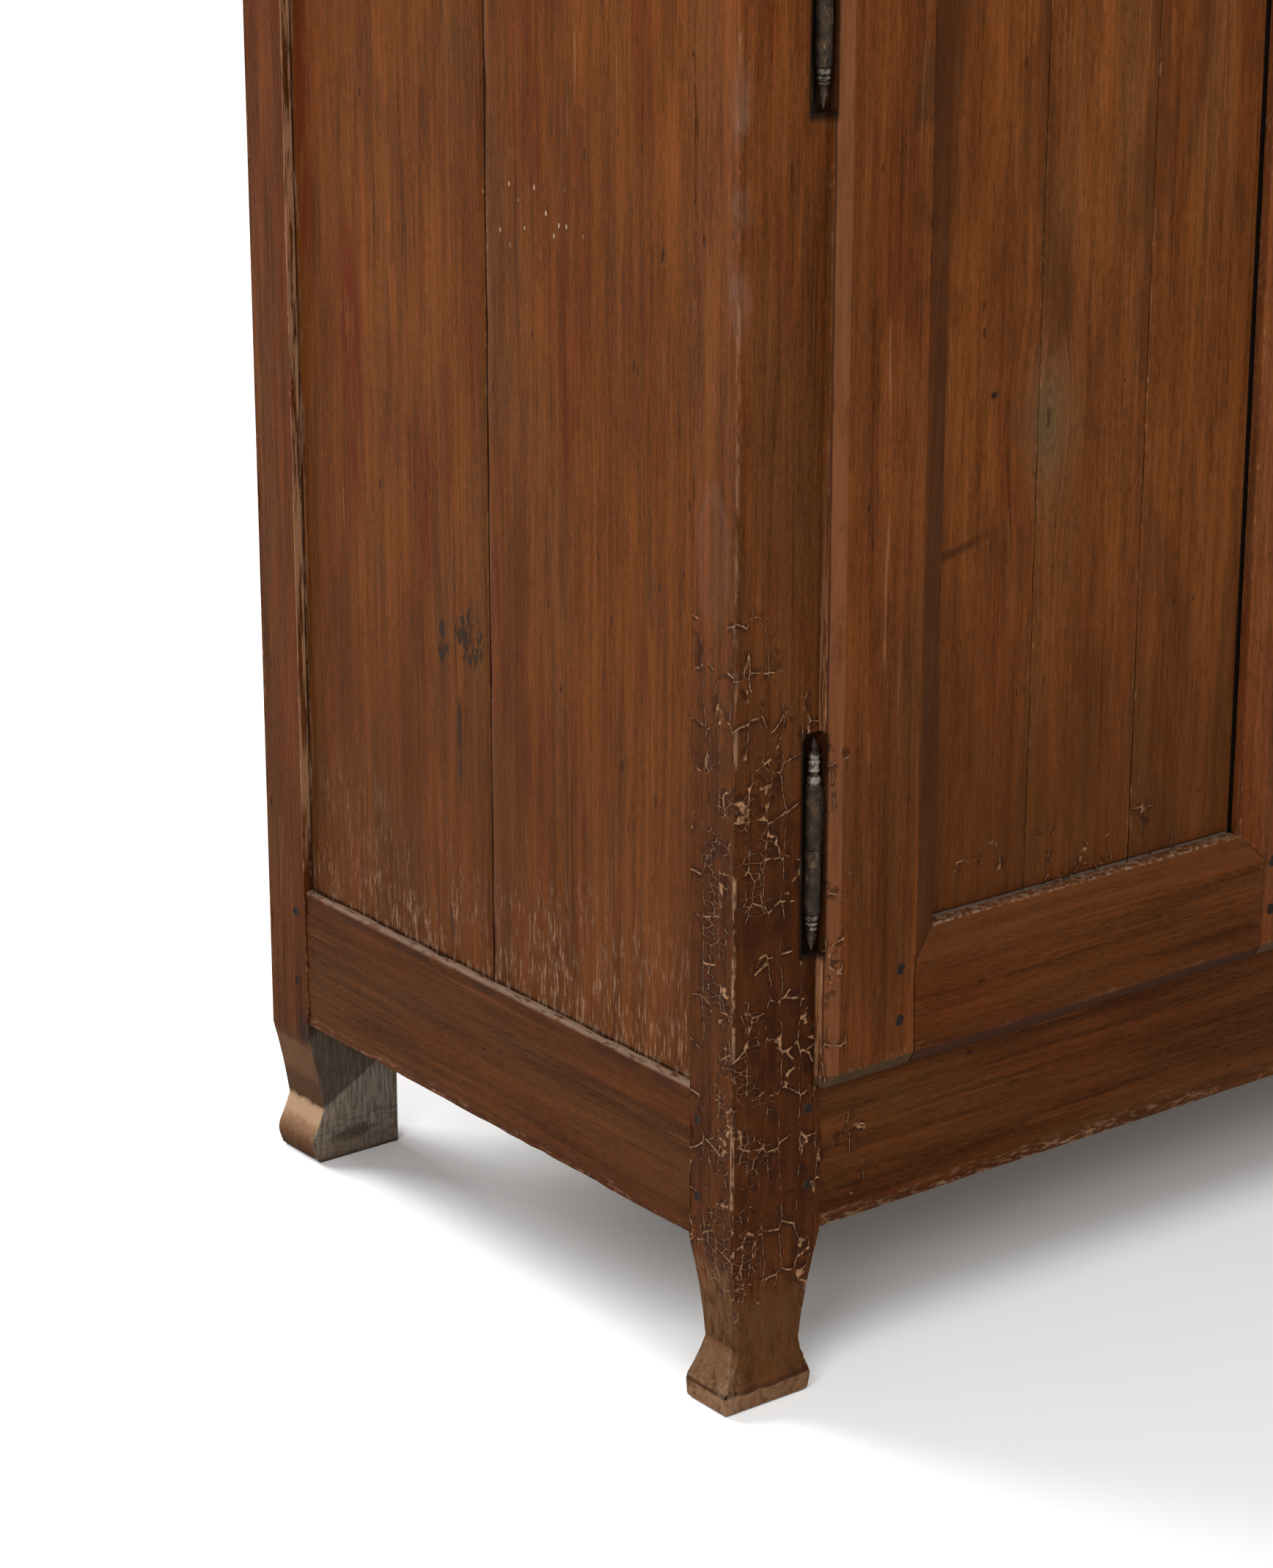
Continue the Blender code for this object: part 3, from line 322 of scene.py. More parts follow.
def waxed_wood(name, along, brown, olive, orange, ruddy, ruddy_share=0.5, gloss=0.50, marks=None, bend=None,
               wear=1.0, golden=(0.24, 0.105, 0.042)):
    made = Finish(name, specular=0.022)
    place = shifted_place(made)
    if bend:
        place = bend(made, place)
    drift_place = made.scaled(place, along_grain(along, 0.14))
    streak_place = made.scaled(place, along_grain(along, 0.03))
    dash_place = made.scaled(place, along_grain(along, 0.16))
    drift = made.noise(drift_place, 9.0, 3, 0.55, 0.3)
    hue = made.noise(drift_place, 17.0, 3, 0.6, 0.4)
    colour = made.mix(made.rise(drift, 0.34, 0.66), brown, orange)
    colour = made.stain(colour, olive, made.rise(hue, 0.44, 0.66), 0.75)
    red_cloud = made.noise(made.vector("ADD", drift_place, (3.0, 5.0, 7.0)), 21.0, 4, 0.62, 0.3)
    colour = made.stain(colour, ruddy, made.rise(red_cloud, 0.50, 0.70), ruddy_share)
    streak = made.noise(streak_place, 130.0, 4, 0.62, 0.4)
    line = made.noise(streak_place, 420.0, 3, 0.6)
    dash = made.noise(dash_place, 760.0, 3, 0.62)
    swell = made.noise(drift_place, 38.0, 3, 0.6, 0.5)
    tone = made.plus(made.times(made.plus(streak, -0.5), 1.45), made.times(made.plus(line, -0.5), 1.0),
                     made.times(made.plus(dash, -0.5), 1.35), made.times(made.plus(swell, -0.5), 0.85), 1.0)
    # Painted shade: every waxed piece is darker towards the bottom, where less light falls from above.
    up = made.parts(made.object_place)[2]
    tone = made.times(tone, made.plus(0.80, made.times(made.rise(up, 0.15, 1.0), 0.20)))
    tones = made.add("ShaderNodeCombineXYZ", (), {i: tone for i in range(3)}).outputs[0]
    colour = made.vector("MULTIPLY", colour, tones)
    gold = made.times(made.rise(made.noise(streak_place, 170.0, 2, 0.5), 0.68, 0.73),
                      made.rise(made.noise(drift_place, 8.0, 2), 0.46, 0.60))
    colour = made.stain(colour, golden, gold, 0.50)
    tick = made.rise(made.noise(made.scaled(place, along_grain(along, 0.2)), 520.0, 2, 0.55), 0.68, 0.74)
    tick_field = made.rise(made.noise(drift_place, 30.0, 3, 0.6), 0.42, 0.60)
    tick = made.times(tick, tick_field)
    pore = made.rise(made.noise(made.scaled(place, along_grain(along, 0.25)), 150.0, 1, 0.5), 0.775, 0.80)
    colour = made.stain(colour, pore_brown, tick, 0.55)
    colour = made.stain(colour, pore_brown, pore, 0.85)
    edge = made.attribute("edge")
    nook = made.attribute("nook")
    patchy = made.noise(place, 42.0, 5, 0.68)
    speckle = made.noise(made.scaled(place, along_grain(along, 0.35)), 420.0, 3, 0.65)
    break_up = made.waver(made.times(made.plus(patchy, -0.5), 1.1), speckle, 0.9)
    worn_share = made.times(made.rise(made.plus(edge, break_up), 0.96, 1.20), 0.60 * wear)
    # Painted shade: the wood is darkened near inner corners, from the nook attribute.
    nook_shade = made.times(made.rise(nook, 0.55, 0.95), 0.6)
    dust_share = made.times(made.rise(made.plus(nook, break_up), 0.98, 1.16), 0.55)
    colour = made.stain(colour, pore_brown, nook_shade)
    colour = made.stain(colour, dust_grey, dust_share)
    colour = made.stain(colour, worn_tan, worn_share)
    height = made.plus(made.times(line, 0.6), made.times(dash, 0.6), made.times(tick, -1.0),
                       made.times(pore, -2.0), made.times(patchy, 0.6))
    roughness = made.plus(gloss - 0.12, made.times(patchy, 0.20), made.times(worn_share, 0.2),
                          made.times(dust_share, 0.4))
    if marks:
        colour, height, roughness = marks(made, colour, height, roughness)
    return made.finish(colour, roughness, height, 0.00030)


# %% [markdown]
# ## Crackle
# Where damp has lifted the old finish it has crazed into raised, winding lines. Their pale tops are
# partly a painted highlight, and the dark at their feet is painted shadow. Cracks between the cells of
# a broken-up mosaic give the lines, and a second, finer mosaic gives the crowded ones. A cloud decides
# where each line fades out.

# %% Crackle recipe
crackle_tan = (0.29, 0.150, 0.074)
crackle_foot_shadow = (0.018, 0.0065, 0.0035)


def crackle(made, colour, height, amount, crowded):
    """Lay crackle over a finish. amount and crowded are 0 to 1 masks."""
    place = made.object_place
    warp = made.noise_vector(place, 42.0, 2)
    bent = made.vector("ADD", place, made.scaled(warp, (0.008, 0.008, 0.008)))
    fine_warp = made.noise_vector(place, 170.0, 1)
    bent = made.vector("ADD", bent, made.scaled(fine_warp, (0.0009, 0.0009, 0.0009)))
    wide = made.cells(made.scaled(bent, (1, 1, 0.45)), 62.0, randomness=0.42)
    close = made.cells(made.scaled(bent, (0.42, 0.42, 1.0)), 150.0, randomness=0.62)
    gate = made.noise(place, 30.0, 3, 0.6)
    fine_gate = made.noise(place, 80.0, 2, 0.6)
    faint = made.noise(place, 260.0, 2, 0.6)
    wide_gate = made.times(made.rise(made.plus(gate, made.times(amount, 0.13)), 0.565, 0.60),
                           made.rise(fine_gate, 0.42, 0.47), made.rise(amount, 0.05, 0.3))
    close_gate = made.times(made.rise(made.plus(gate, made.times(crowded, 0.20)), 0.595, 0.68),
                            made.rise(fine_gate, 0.40, 0.48), made.rise(crowded, 0.05, 0.3))
    crest = made.highest(made.times(made.rise(wide, 0.024, 0.011), wide_gate),
                         made.times(made.rise(close, 0.040, 0.020), close_gate, 0.75))
    shaded_feet = made.highest(made.times(made.rise(wide, 0.17, 0.03), wide_gate),
                        made.times(made.rise(close, 0.36, 0.08), close_gate))
    # Painted shadow at the feet of the raised lines, and a pale crest on top that is partly a painted
    # highlight.
    colour = made.stain(colour, crackle_foot_shadow, shaded_feet, 0.70)
    colour = made.stain(colour, crackle_tan, crest, made.rise(faint, 0.30, 0.62))
    height = made.plus(height, made.times(crest, 2.2), made.times(shaded_feet, -1.0))
    return colour, height


# %% [markdown]
# ## Each piece's own marks
# The marks are placed from the frame. The front posts are crackled and darkened below hinge height,
# partly by damp and partly as painted shade, with a pale band on the arris above that is partly wear
# and partly a painted highlight. Their feet have a lighter band where the mop has reached, and
# painted shade lines in their creases.

# %% Marks on the front posts
foot_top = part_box("front_bottom_rail")[0].z
rail_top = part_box("front_bottom_rail")[1].z
crackle_top = 0.62


def spot(made, centre, radii, soft=0.5):
    """1 inside an oval on the left side, fading outwards. centre is (out, back, up)."""
    away = made.vector("SUBTRACT", made.object_place, (-centre[0], *centre[1:]))
    size = made.add("ShaderNodeVectorMath", {"operation": "LENGTH"},
                    {0: made.vector("DIVIDE", away, radii)}).outputs["Value"]
    return made.rise(size, 1.0, 1.0 - soft)


knuckle_radius = 0.0062
upper_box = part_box("left_lower_hinge_upper_knuckle")
hinge_out = -upper_box[0].x - knuckle_radius
hinge_heights = {label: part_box(f"left_{label}_hinge_upper_knuckle")[0].z
                 for label in ("lower", "middle", "upper")}


def hinge_shadow(made, colour):
    """Painted shadow round the three hinges, in a dark band beside each barrel."""
    across, back, up = made.parts(made.mirrored_place)
    beside = made.rise(made.distance(across, hinge_out), 0.0105, 0.0078)
    levels = [made.rise(made.maths("ABSOLUTE", made.plus(up, 0.001 - level)), 0.088,
                        0.080) for level in hinge_heights.values()]
    return made.stain(colour, (0.008, 0.0045, 0.003), beside, made.highest(*levels), 0.90)


def front_post_marks(made, colour, height, roughness):
    across, back, up = made.parts(made.mirrored_place)
    from_corner = made.maths("MAXIMUM", made.less(side_plane, across),
                             made.less(back, front))
    on_side = made.rise(made.less(made.less(back, front), made.less(side_plane, across)), 0.0001, 0.0012)
    cloud = made.patches(16.0, 3, 0.6)
    drifted_up = made.waver(up, cloud, 0.25)
    low = made.rise(drifted_up, crackle_top - 0.02, crackle_top - 0.26)
    damp = made.times(low, made.rise(up, 0.03, 0.10))
    foot = made.rise(up, 0.150, 0.105)
    # Darker below the crackle line: partly the damp finish and partly painted shade towards the bottom.
    colour = made.stain(colour, (0.030, 0.0078, 0.0018), low,
                        made.plus(0.62, made.times(foot, -0.30), made.times(on_side, -0.27)))
    bruise = made.times(low, made.rise(made.streaks((1, 1, 0.35), 55.0, 4, 0.65), 0.48, 0.66))
    bruise_share = made.plus(0.55, made.times(on_side, -0.20))
    colour = made.stain(colour, (0.016, 0.0045, 0.0020), bruise, bruise_share)
    amount = made.times(made.rise(drifted_up, crackle_top, crackle_top - 0.10), made.rise(up, 0.05, 0.11))
    crowd = made.times(damp, made.rise(from_corner, 0.050, 0.010))
    colour, height = crackle(made, colour, height, amount, crowd)
    # Partly wear and partly a painted highlight: a pale, streaky band along the corner arris.
    arris = made.times(made.rise(from_corner, 0.0032, 0.0010),
                       made.rise(made.streaks((1, 1, 0.3), 90.0, 4, 0.7), 0.48, 0.60))
    colour = made.stain(colour, (0.33, 0.185, 0.105), arris, made.plus(0.30, made.times(low, 0.40)))
    haze = made.times(made.rise(from_corner, 0.016, 0.002), made.band(up, 0.84, 0.95, 0.05),
                      made.rise(cloud, 0.35, 0.6))
    colour = made.stain(colour, (0.26, 0.18, 0.145), haze, 0.26)
    ring = spot(made, (side_plane, front + 0.026, 0.645), (0.02, 0.020, 0.060), 0.3)
    inner_ring = spot(made, (side_plane, front + 0.026, 0.640), (0.02, 0.016, 0.052), 0.2)
    colour = made.stain(colour, (0.22, 0.15, 0.125),
                        made.plus(made.times(ring, 0.5), made.times(inner_ring, -0.3)), 0.20)
    grain = made.streaks((1, 1, 0.4), 260.0, 4, 0.7)
    scratchy = made.streaks((1, 1, 0.16), 300.0, 5, 0.75)
    ragged = made.waver(up, made.patches(90.0, 4, 0.7), 0.007)
    leg_side = made.times(on_side, made.rise(ragged, 0.118, 0.104))
    colour = made.stain(colour, (0.150, 0.080, 0.034), leg_side, made.rise(scratchy, 0.42, 0.60), 0.62)
    colour = made.stain(colour, (0.026, 0.013, 0.006), leg_side, made.rise(scratchy, 0.46, 0.34), 0.60)
    flare_side = made.times(made.rise(ragged, 0.044, 0.040), on_side)
    mottle = made.patches(140.0, 5, 0.72)
    flare_side = made.times(flare_side, made.plus(0.15, made.times(made.rise(mottle, 0.34, 0.62), 0.85)))
    colour = made.stain(colour, (0.160, 0.088, 0.048), flare_side)
    colour = made.stain(colour, (0.030, 0.014, 0.007), made.rise(ragged, 0.040, 0.020),
                        made.rise(mottle, 0.46, 0.36), 0.6)
    # Painted shade: a darker line in the crease at the foot's waist.
    crease_shade = made.band(ragged, 0.0405, 0.0430, 0.0014)
    colour = made.stain(colour, (0.150, 0.050, 0.022), crease_shade, on_side, 0.65)
    pad = made.rise(ragged, 0.0178, 0.0150)
    colour = made.stain(colour, (0.205, 0.108, 0.056), pad, made.plus(0.15, made.times(grain, 1.1)))
    colour = made.stain(colour, (0.062, 0.030, 0.015), pad, made.rise(mottle, 0.50, 0.36), 0.75)
    # Painted shade: a dark line in the crease at the top of the pad.
    colour = made.stain(colour, pore_brown, made.band(ragged, 0.0152, 0.0166, 0.0012), 0.8)
    scuff = made.times(made.band(up, 0.018, 0.030, 0.008), made.rise(cloud, 0.40, 0.60))
    colour = made.stain(colour, (0.180, 0.064, 0.024), scuff, 0.45)
    lower_leg = made.times(made.rise(ragged, 0.100, 0.070), made.rise(ragged, 0.017, 0.020), 0.55)
    colour = made.stain(colour, (0.092, 0.045, 0.0170), lower_leg, made.rise(scratchy, 0.30, 0.60))
    slope = made.times(made.rise(up, 0.062, 0.040), made.rise(from_corner, 0.012, 0.003), 0.35)
    colour = made.stain(colour, (0.23, 0.145, 0.09), slope, made.rise(grain, 0.4, 0.6))
    colour = hinge_shadow(made, colour)
    roughness = made.plus(roughness, made.times(damp, 0.06), made.times(pad, 0.25))
    return colour, made.plus(height,
                             made.times(made.highest(pad, flare_side, leg_side),
                                        made.times(grain, 3.5))), roughness


# %% [markdown]
# The rear posts end in a rounded bulb that has lost its finish, and the plank face behind the leg is
# bare grey wood with old saw marks. The narrow edge that stands in front of the side boards is dusty.

# %% Marks on the rear posts
rear_post_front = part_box("left_rear_post")[0].y


def rear_post_marks(made, colour, height, roughness):
    across, back, up = made.parts(made.mirrored_place)
    grain = made.streaks((1, 1, 0.3), 300.0, 4, 0.7)
    saw = made.streaks((0.12, 0.12, 1), 420.0, 3, 0.6)
    facing = made.rise(back, rear_post_front + 0.0016, rear_post_front + 0.0008)
    under_rail = made.rise(up, foot_top + 0.002, foot_top - 0.001)
    bare = made.times(facing, under_rail)
    outside = made.rise(across, side_plane - 0.055, side_plane - 0.035)
    ragged = made.waver(up, made.patches(70.0, 4, 0.7), 0.010)
    leg = made.times(made.rise(ragged, 0.108, 0.100), outside)
    colour = made.stain(colour, (0.120, 0.062, 0.026), leg, made.plus(0.25, made.times(grain, 0.6)))
    colour = made.stain(colour, (0.034, 0.014, 0.006), leg, made.band(ragged, 0.050, 0.066, 0.010), 0.6)
    outer_bulb = made.times(made.rise(ragged, 0.050, 0.045), outside)
    bulb = made.ramp(made.waver(made.times(ragged, 18.0), grain, 0.25),
                     [(0.05, (0.045, 0.022, 0.011)), (0.30, (0.105, 0.048, 0.024)),
                      (0.50, (0.21, 0.118, 0.066)), (0.62, (0.34, 0.215, 0.130)),
                      (0.80, (0.36, 0.230, 0.140)), (0.90, (0.080, 0.036, 0.016))])
    colour = made.stain(colour, bulb, outer_bulb, 0.92)
    fibre = made.streaks((1, 1, 0.10), 420.0, 4, 0.72)
    grey = made.mix(made.rise(fibre, 0.36, 0.64), (0.105, 0.082, 0.062), (0.235, 0.190, 0.150))
    saw_low = made.times(made.rise(up, 0.050, 0.030), made.rise(saw, 0.50, 0.40), 0.55)
    grey = made.stain(grey, (0.060, 0.047, 0.036), saw_low)
    # Painted shadow: a darker triangle above a slanting line on the bare grey face, as if cast from above.
    diagonal = made.less(up, made.times(made.less(side_plane, across), 0.566))
    diagonal = made.waver(diagonal, grain, 0.004)
    triangle_shadow = made.times(made.rise(diagonal, 0.0375, 0.0420), made.plus(0.45, made.times(grain, 0.7)))
    grey = made.stain(grey, (0.050, 0.034, 0.023), triangle_shadow)
    damp_patch = spot(made, (side_plane - 0.040, rear_post_front, 0.019), (0.030, 0.05, 0.010), 0.8)
    damp_patch = made.rise(made.waver(damp_patch, made.patches(120.0, 5, 0.75), 3.4), 0.35, 0.75)
    grey = made.stain(grey, (0.040, 0.031, 0.020), damp_patch, 0.75)
    grey = made.stain(grey, (0.135, 0.092, 0.064), made.rise(ragged, 0.020, 0.014), 0.5)
    colour = made.stain(colour, grey, bare, 0.95)
    dusty_edge = made.times(facing, made.rise(up, rail_top + 0.01, rail_top + 0.05),
                            made.rise(made.streaks((1, 1, 0.06), 240.0, 4, 0.7),
                                      0.40, 0.56))
    colour = made.stain(colour, (0.270, 0.135, 0.068), dusty_edge, 0.92)
    chipped = spot(made, (side_plane, rear_post_front + 0.006, foot_top - 0.004), (0.02, 0.010, 0.018), 0.5)
    colour = made.stain(colour, (0.020, 0.011, 0.007), chipped, made.rise(grain, 0.40, 0.5), 0.85)
    base = made.rise(up, 0.0045, 0.0010)
    colour = made.stain(colour, (0.035, 0.022, 0.014), base, 0.6)
    rough = made.plus(roughness, made.times(made.highest(bare, outer_bulb), 0.3))
    return colour, made.plus(height,
                             made.times(bare,
                                        made.plus(made.times(saw, 2.5), made.times(grain, 2.5)))), rough


# %% [markdown]
# The side boards carry red stains, a cluster of dark drips, a sprinkle of pale worm specks and pale
# vertical scuffs above the rail, and painted shade makes them darker towards the bottom. Dust lies
# along their rim, where the boards enter the frame, and a painted shade line darkens the rim itself.

# %% Marks on the side boards
boards_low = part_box("left_bottom_side_rail")[1].z
boards_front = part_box("left_front_post")[1].y
side_face = side_plane - 0.008


def side_board_marks(made, colour, height, roughness):
    across, back, up = made.parts(made.mirrored_place)
    cloud = made.patches(13.0, 4, 0.6)
    upright = made.scaled(made.object_place, (1, 1, 0.10))
    thin = made.noise(upright, 330.0, 4, 0.65)
    blotch = made.rise(made.streaks((1, 1, 0.35), 60.0, 5, 0.7), 0.54, 0.64)
    colour = made.stain(colour, (0.050, 0.0125, 0.0032), blotch, made.rise(thin, 0.40, 0.60), 0.45)
    stain = made.highest(spot(made, (side_face, 0.205, 0.70), (0.1, 0.022, 0.17), 0.9),
                         spot(made, (side_face, 0.262, 0.86), (0.1, 0.016, 0.20), 0.9),
                         spot(made, (side_face, 0.105, 0.60), (0.1, 0.014, 0.10), 0.9))
    colour = made.stain(colour, (0.080, 0.0118, 0.0024), made.rise(stain, 0.0, 0.8),
                        made.rise(made.waver(thin, cloud, 0.5), 0.40, 0.58), 0.90)
    # Painted shade: the side boards are darker towards the bottom.
    lower = made.rise(up, 0.62, 0.34)
    colour = made.stain(colour, (0.060, 0.0190, 0.0050), lower, 0.30)
    smoke = made.streaks((1, 1, 0.22), 24.0, 5, 0.65)
    colour = made.stain(colour, (0.052, 0.0150, 0.0040), made.rise(smoke, 0.52, 0.68),
                        made.rise(thin, 0.36, 0.62), 0.65)
    drips = made.streaks((1, 1, 0.5), 170.0, 4, 0.65)
    cluster = made.highest(spot(made, (side_face, 0.050, 0.512), (0.1, 0.040, 0.050), 0.7),
                           spot(made, (side_face, 0.085, 0.500), (0.1, 0.018, 0.040), 0.7))
    blots = made.rise(made.times(cluster, drips), 0.475, 0.515)
    trickle = made.times(spot(made, (side_face, 0.0645, 0.425), (0.1, 0.0042, 0.045), 0.4),
                         made.rise(thin, 0.38, 0.48))
    colour = made.stain(colour, (0.020, 0.012, 0.008), made.highest(blots, trickle), 0.85)
    worm_cells = made.cells(made.scaled(made.object_place, (1, 1, 0.55)), 115.0, "F1")
    worm_field = made.times(spot(made, (side_face, -0.030, 0.848), (0.1, 0.085, 0.034), 0.6),
                            made.rise(cloud, 0.36, 0.5))
    worm = made.times(worm_field, made.rise(worm_cells, 0.16, 0.10))
    worm_edge = made.times(worm_field, made.rise(worm_cells, 0.24, 0.14))
    colour = made.stain(colour, pore_brown, worm_edge, 0.6)
    colour = made.stain(colour, (0.46, 0.30, 0.18), worm, 0.8)
    scuffs = made.times(made.rise(up, boards_low + 0.17, boards_low + 0.02),
                        made.rise(made.streaks((1, 1, 0.12), 420.0, 5, 0.75), 0.52, 0.64),
                        made.rise(cloud, 0.36, 0.62))
    colour = made.stain(colour, (0.30, 0.175, 0.105), scuffs, 0.60)
    # Painted shade: a dark line along the rim, where the boards meet the frame.
    rim = made.maths("MINIMUM", made.less(back, boards_front),
                     made.less(rear_post_front, back))
    rim = made.maths("MINIMUM", rim, made.less(up, boards_low))
    colour = made.stain(colour, pore_brown, made.rise(rim, 0.0026, 0.0008), 0.80)
    dusty = made.times(made.rise(rim, 0.0085, 0.0016), made.rise(thin, 0.50, 0.62))
    colour = made.stain(colour, (0.30, 0.19, 0.125), dusty, 0.38)
    middle_joint = (boards_front + rear_post_front) / 2
    joint = made.rise(made.distance(back, middle_joint), 0.0016, 0.0005)
    colour = made.stain(colour, pore_brown, joint, 0.85)
    check = made.maths("ABSOLUTE", made.plus(back, 0.079, made.times(made.plus(cloud, -0.5), 0.003)))
    check = made.times(made.rise(check, 0.0009, 0.0003), made.band(up, 0.30, 0.47, 0.03))
    colour = made.stain(colour, pore_brown, check, 0.7)
    return colour, made.plus(height, made.times(worm, -2.0), made.times(joint, -2.0)), roughness


# %% [markdown]
# The door panels are the showiest boards. Their grain swings round a large knot, a small knot sits
# beside it, and a dark branch scar runs in from the frame. Painted shade makes them darker towards the
# bottom, darkens the panel's rim in the frame and fills the gap by the closing stile with near black.
# Dust outlines the panel in the frame.

# %% Marks on the door panels
door_stile_low, door_stile_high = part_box("left_door_hinge_stile")
panel_outer = -door_stile_high.x
panel_inner = -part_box("left_door_closing_stile")[0].x
panel_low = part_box("left_door_bottom_rail")[1].z
panel_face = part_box("left_door_board_1")[0].y
knot_place = (0.3408, panel_face, 0.704)
knot_centre = (-knot_place[0], *knot_place[1:])
small_knot_place = (0.3939, panel_face, 0.7292)
print("door panel, mm:", [round(1000 * value, 1) for value in (panel_outer, panel_inner, panel_low)])


def grain_round_knot(made, place):
    """Swing the grain round the knot: close to it the pattern is read from nearer its middle."""
    near = spot(made, knot_place, (0.050, 0.2, 0.120), 1.0)
    away = made.vector("SUBTRACT", made.object_place, knot_centre)
    pull = made.scaled(away, (-0.78, 0, 0))
    shares = made.add("ShaderNodeCombineXYZ", (), {i: near for i in range(3)}).outputs[0]
    return made.vector("ADD", place, made.vector("MULTIPLY", pull, shares))


def door_panel_marks(made, colour, height, roughness):
    across, back, up = made.parts(made.mirrored_place)
    cloud = made.patches(15.0, 4, 0.6)
    wobble = made.times(made.plus(made.streaks((1, 1, 0.35), 85.0, 4, 0.6), -0.5), 1.6)
    away = made.vector("DIVIDE", made.vector("SUBTRACT", made.object_place, knot_centre),
                       (0.0085, 1.0, 0.030))
    ring_size = made.plus(made.add("ShaderNodeVectorMath", {"operation": "LENGTH"},
                                   {0: away}).outputs["Value"], wobble)
    knot = made.rise(ring_size, 2.4, 0.9)
    grey_halo = spot(made, knot_place, (0.042, 0.2, 0.085), 1.0)
    colour = made.stain(colour, (0.112, 0.060, 0.026), grey_halo, 0.55)
    core = spot(made, knot_place, (0.017, 0.2, 0.046), 0.7)
    colour = made.stain(colour, (0.080, 0.050, 0.022), core, 0.50)
    rings = made.maths("SINE", made.times(ring_size, 13.0))
    colour = made.stain(colour, (0.052, 0.030, 0.013), knot, made.rise(rings, -0.2, 1.0), 0.30)
    colour = made.stain(colour, (0.19, 0.105, 0.045), knot, made.rise(rings, -0.5, -1.0), 0.12)
    heart = made.rise(ring_size, 0.42, 0.12)
    colour = made.stain(colour, (0.030, 0.014, 0.008), heart, 0.55)
    scar = spot(made, small_knot_place, (0.010, 0.2, 0.007), 0.9)
    scar_heart = spot(made, small_knot_place, (0.0034, 0.2, 0.0030), 0.5)
    colour = made.stain(colour, (0.052, 0.022, 0.010), scar, 0.55)
    colour = made.stain(colour, (0.012, 0.007, 0.004), scar_heart, 0.9)
    slanted = made.less(up, made.plus(0.6176, made.times(made.less(0.4367, across), 0.24)))
    slanted = made.waver(slanted, cloud, 0.006)
    branch = made.times(made.rise(made.maths("ABSOLUTE", slanted), 0.0060, 0.0006),
                        made.rise(made.parts(made.object_place)[0], -0.370, -0.425))
    colour = made.stain(colour, (0.040, 0.012, 0.005), branch, 0.80)
    dark_side = made.times(made.rise(across, 0.395, 0.440), made.rise(up, 0.80, 1.05), 0.35)
    colour = made.stain(colour, (0.050, 0.020, 0.009), dark_side)
    # Painted shade: the panel is darker towards the bottom.
    colour = made.stain(colour, (0.052, 0.0140, 0.0028), made.rise(up, 0.66, 0.38), 0.48)
    smoke = made.streaks((1, 1, 0.22), 28.0, 5, 0.65)
    colour = made.stain(colour, (0.058, 0.0180, 0.0050), made.rise(smoke, 0.50, 0.66), 0.58)
    blotch = made.rise(made.streaks((1, 1, 0.4), 70.0, 5, 0.7), 0.55, 0.66)
    colour = made.stain(colour, (0.052, 0.0170, 0.0050), blotch, 0.32)
    # Painted shade: a dark band round the panel's edge, where it meets the frame.
    rim = made.maths("MINIMUM", made.less(panel_outer, across),
                     made.less(across, panel_inner))
    rim = made.maths("MINIMUM", rim, made.less(up, panel_low))
    wander = made.waver(rim, made.patches(120.0, 4, 0.7), 0.0022)
    colour = made.stain(colour, pore_brown, made.rise(wander, 0.0042, 0.0016), 0.85)
    # Painted shade: the panel is painted near black in the gap by the closing stile.
    gap_shade = made.rise(across, panel_inner + 0.0042, panel_inner + 0.0028)
    colour = made.stain(colour, (0.006, 0.004, 0.003), gap_shade)
    dusty = made.times(made.rise(wander, 0.0020, 0.0008), made.less(1.0, gap_shade))
    colour = made.stain(colour, (0.20, 0.155, 0.120), dusty, 0.50)
    packed = made.waver(made.less(panel_outer, across), cloud, 0.0012)
    colour = made.stain(colour, (0.040, 0.0105, 0.0030), made.rise(packed, 0.0060, 0.0036), 0.60)
    colour = made.stain(colour, (0.062, 0.051, 0.043), made.rise(packed, 0.0030, 0.0024), 0.88)
    amount = made.times(made.rise(up, 0.41, 0.37), 0.28)
    colour, height = crackle(made, colour, height, amount, 0.0)
    return colour, height, made.plus(roughness, made.times(dusty, 0.2))


# %% [markdown]
# The stiles and rails of the doors are darker than their panels. The moulded outer edge of the hinge
# stile is painted pale and pinkish, as painted light from the left with some rubbing, with a painted
# highlight on its fillet and painted shade in its quirk. The stile's bevel by the panel is painted
# darker as shade, the rail bevels are darkened too, and the rails' lower edge carries painted shade.

# %% Marks on the door frames
door_outer = -door_stile_low.x
door_low = door_stile_low.z
moulding_width = 0.0142
bevel_width = 0.0224
bevel_arris = panel_outer + bevel_width


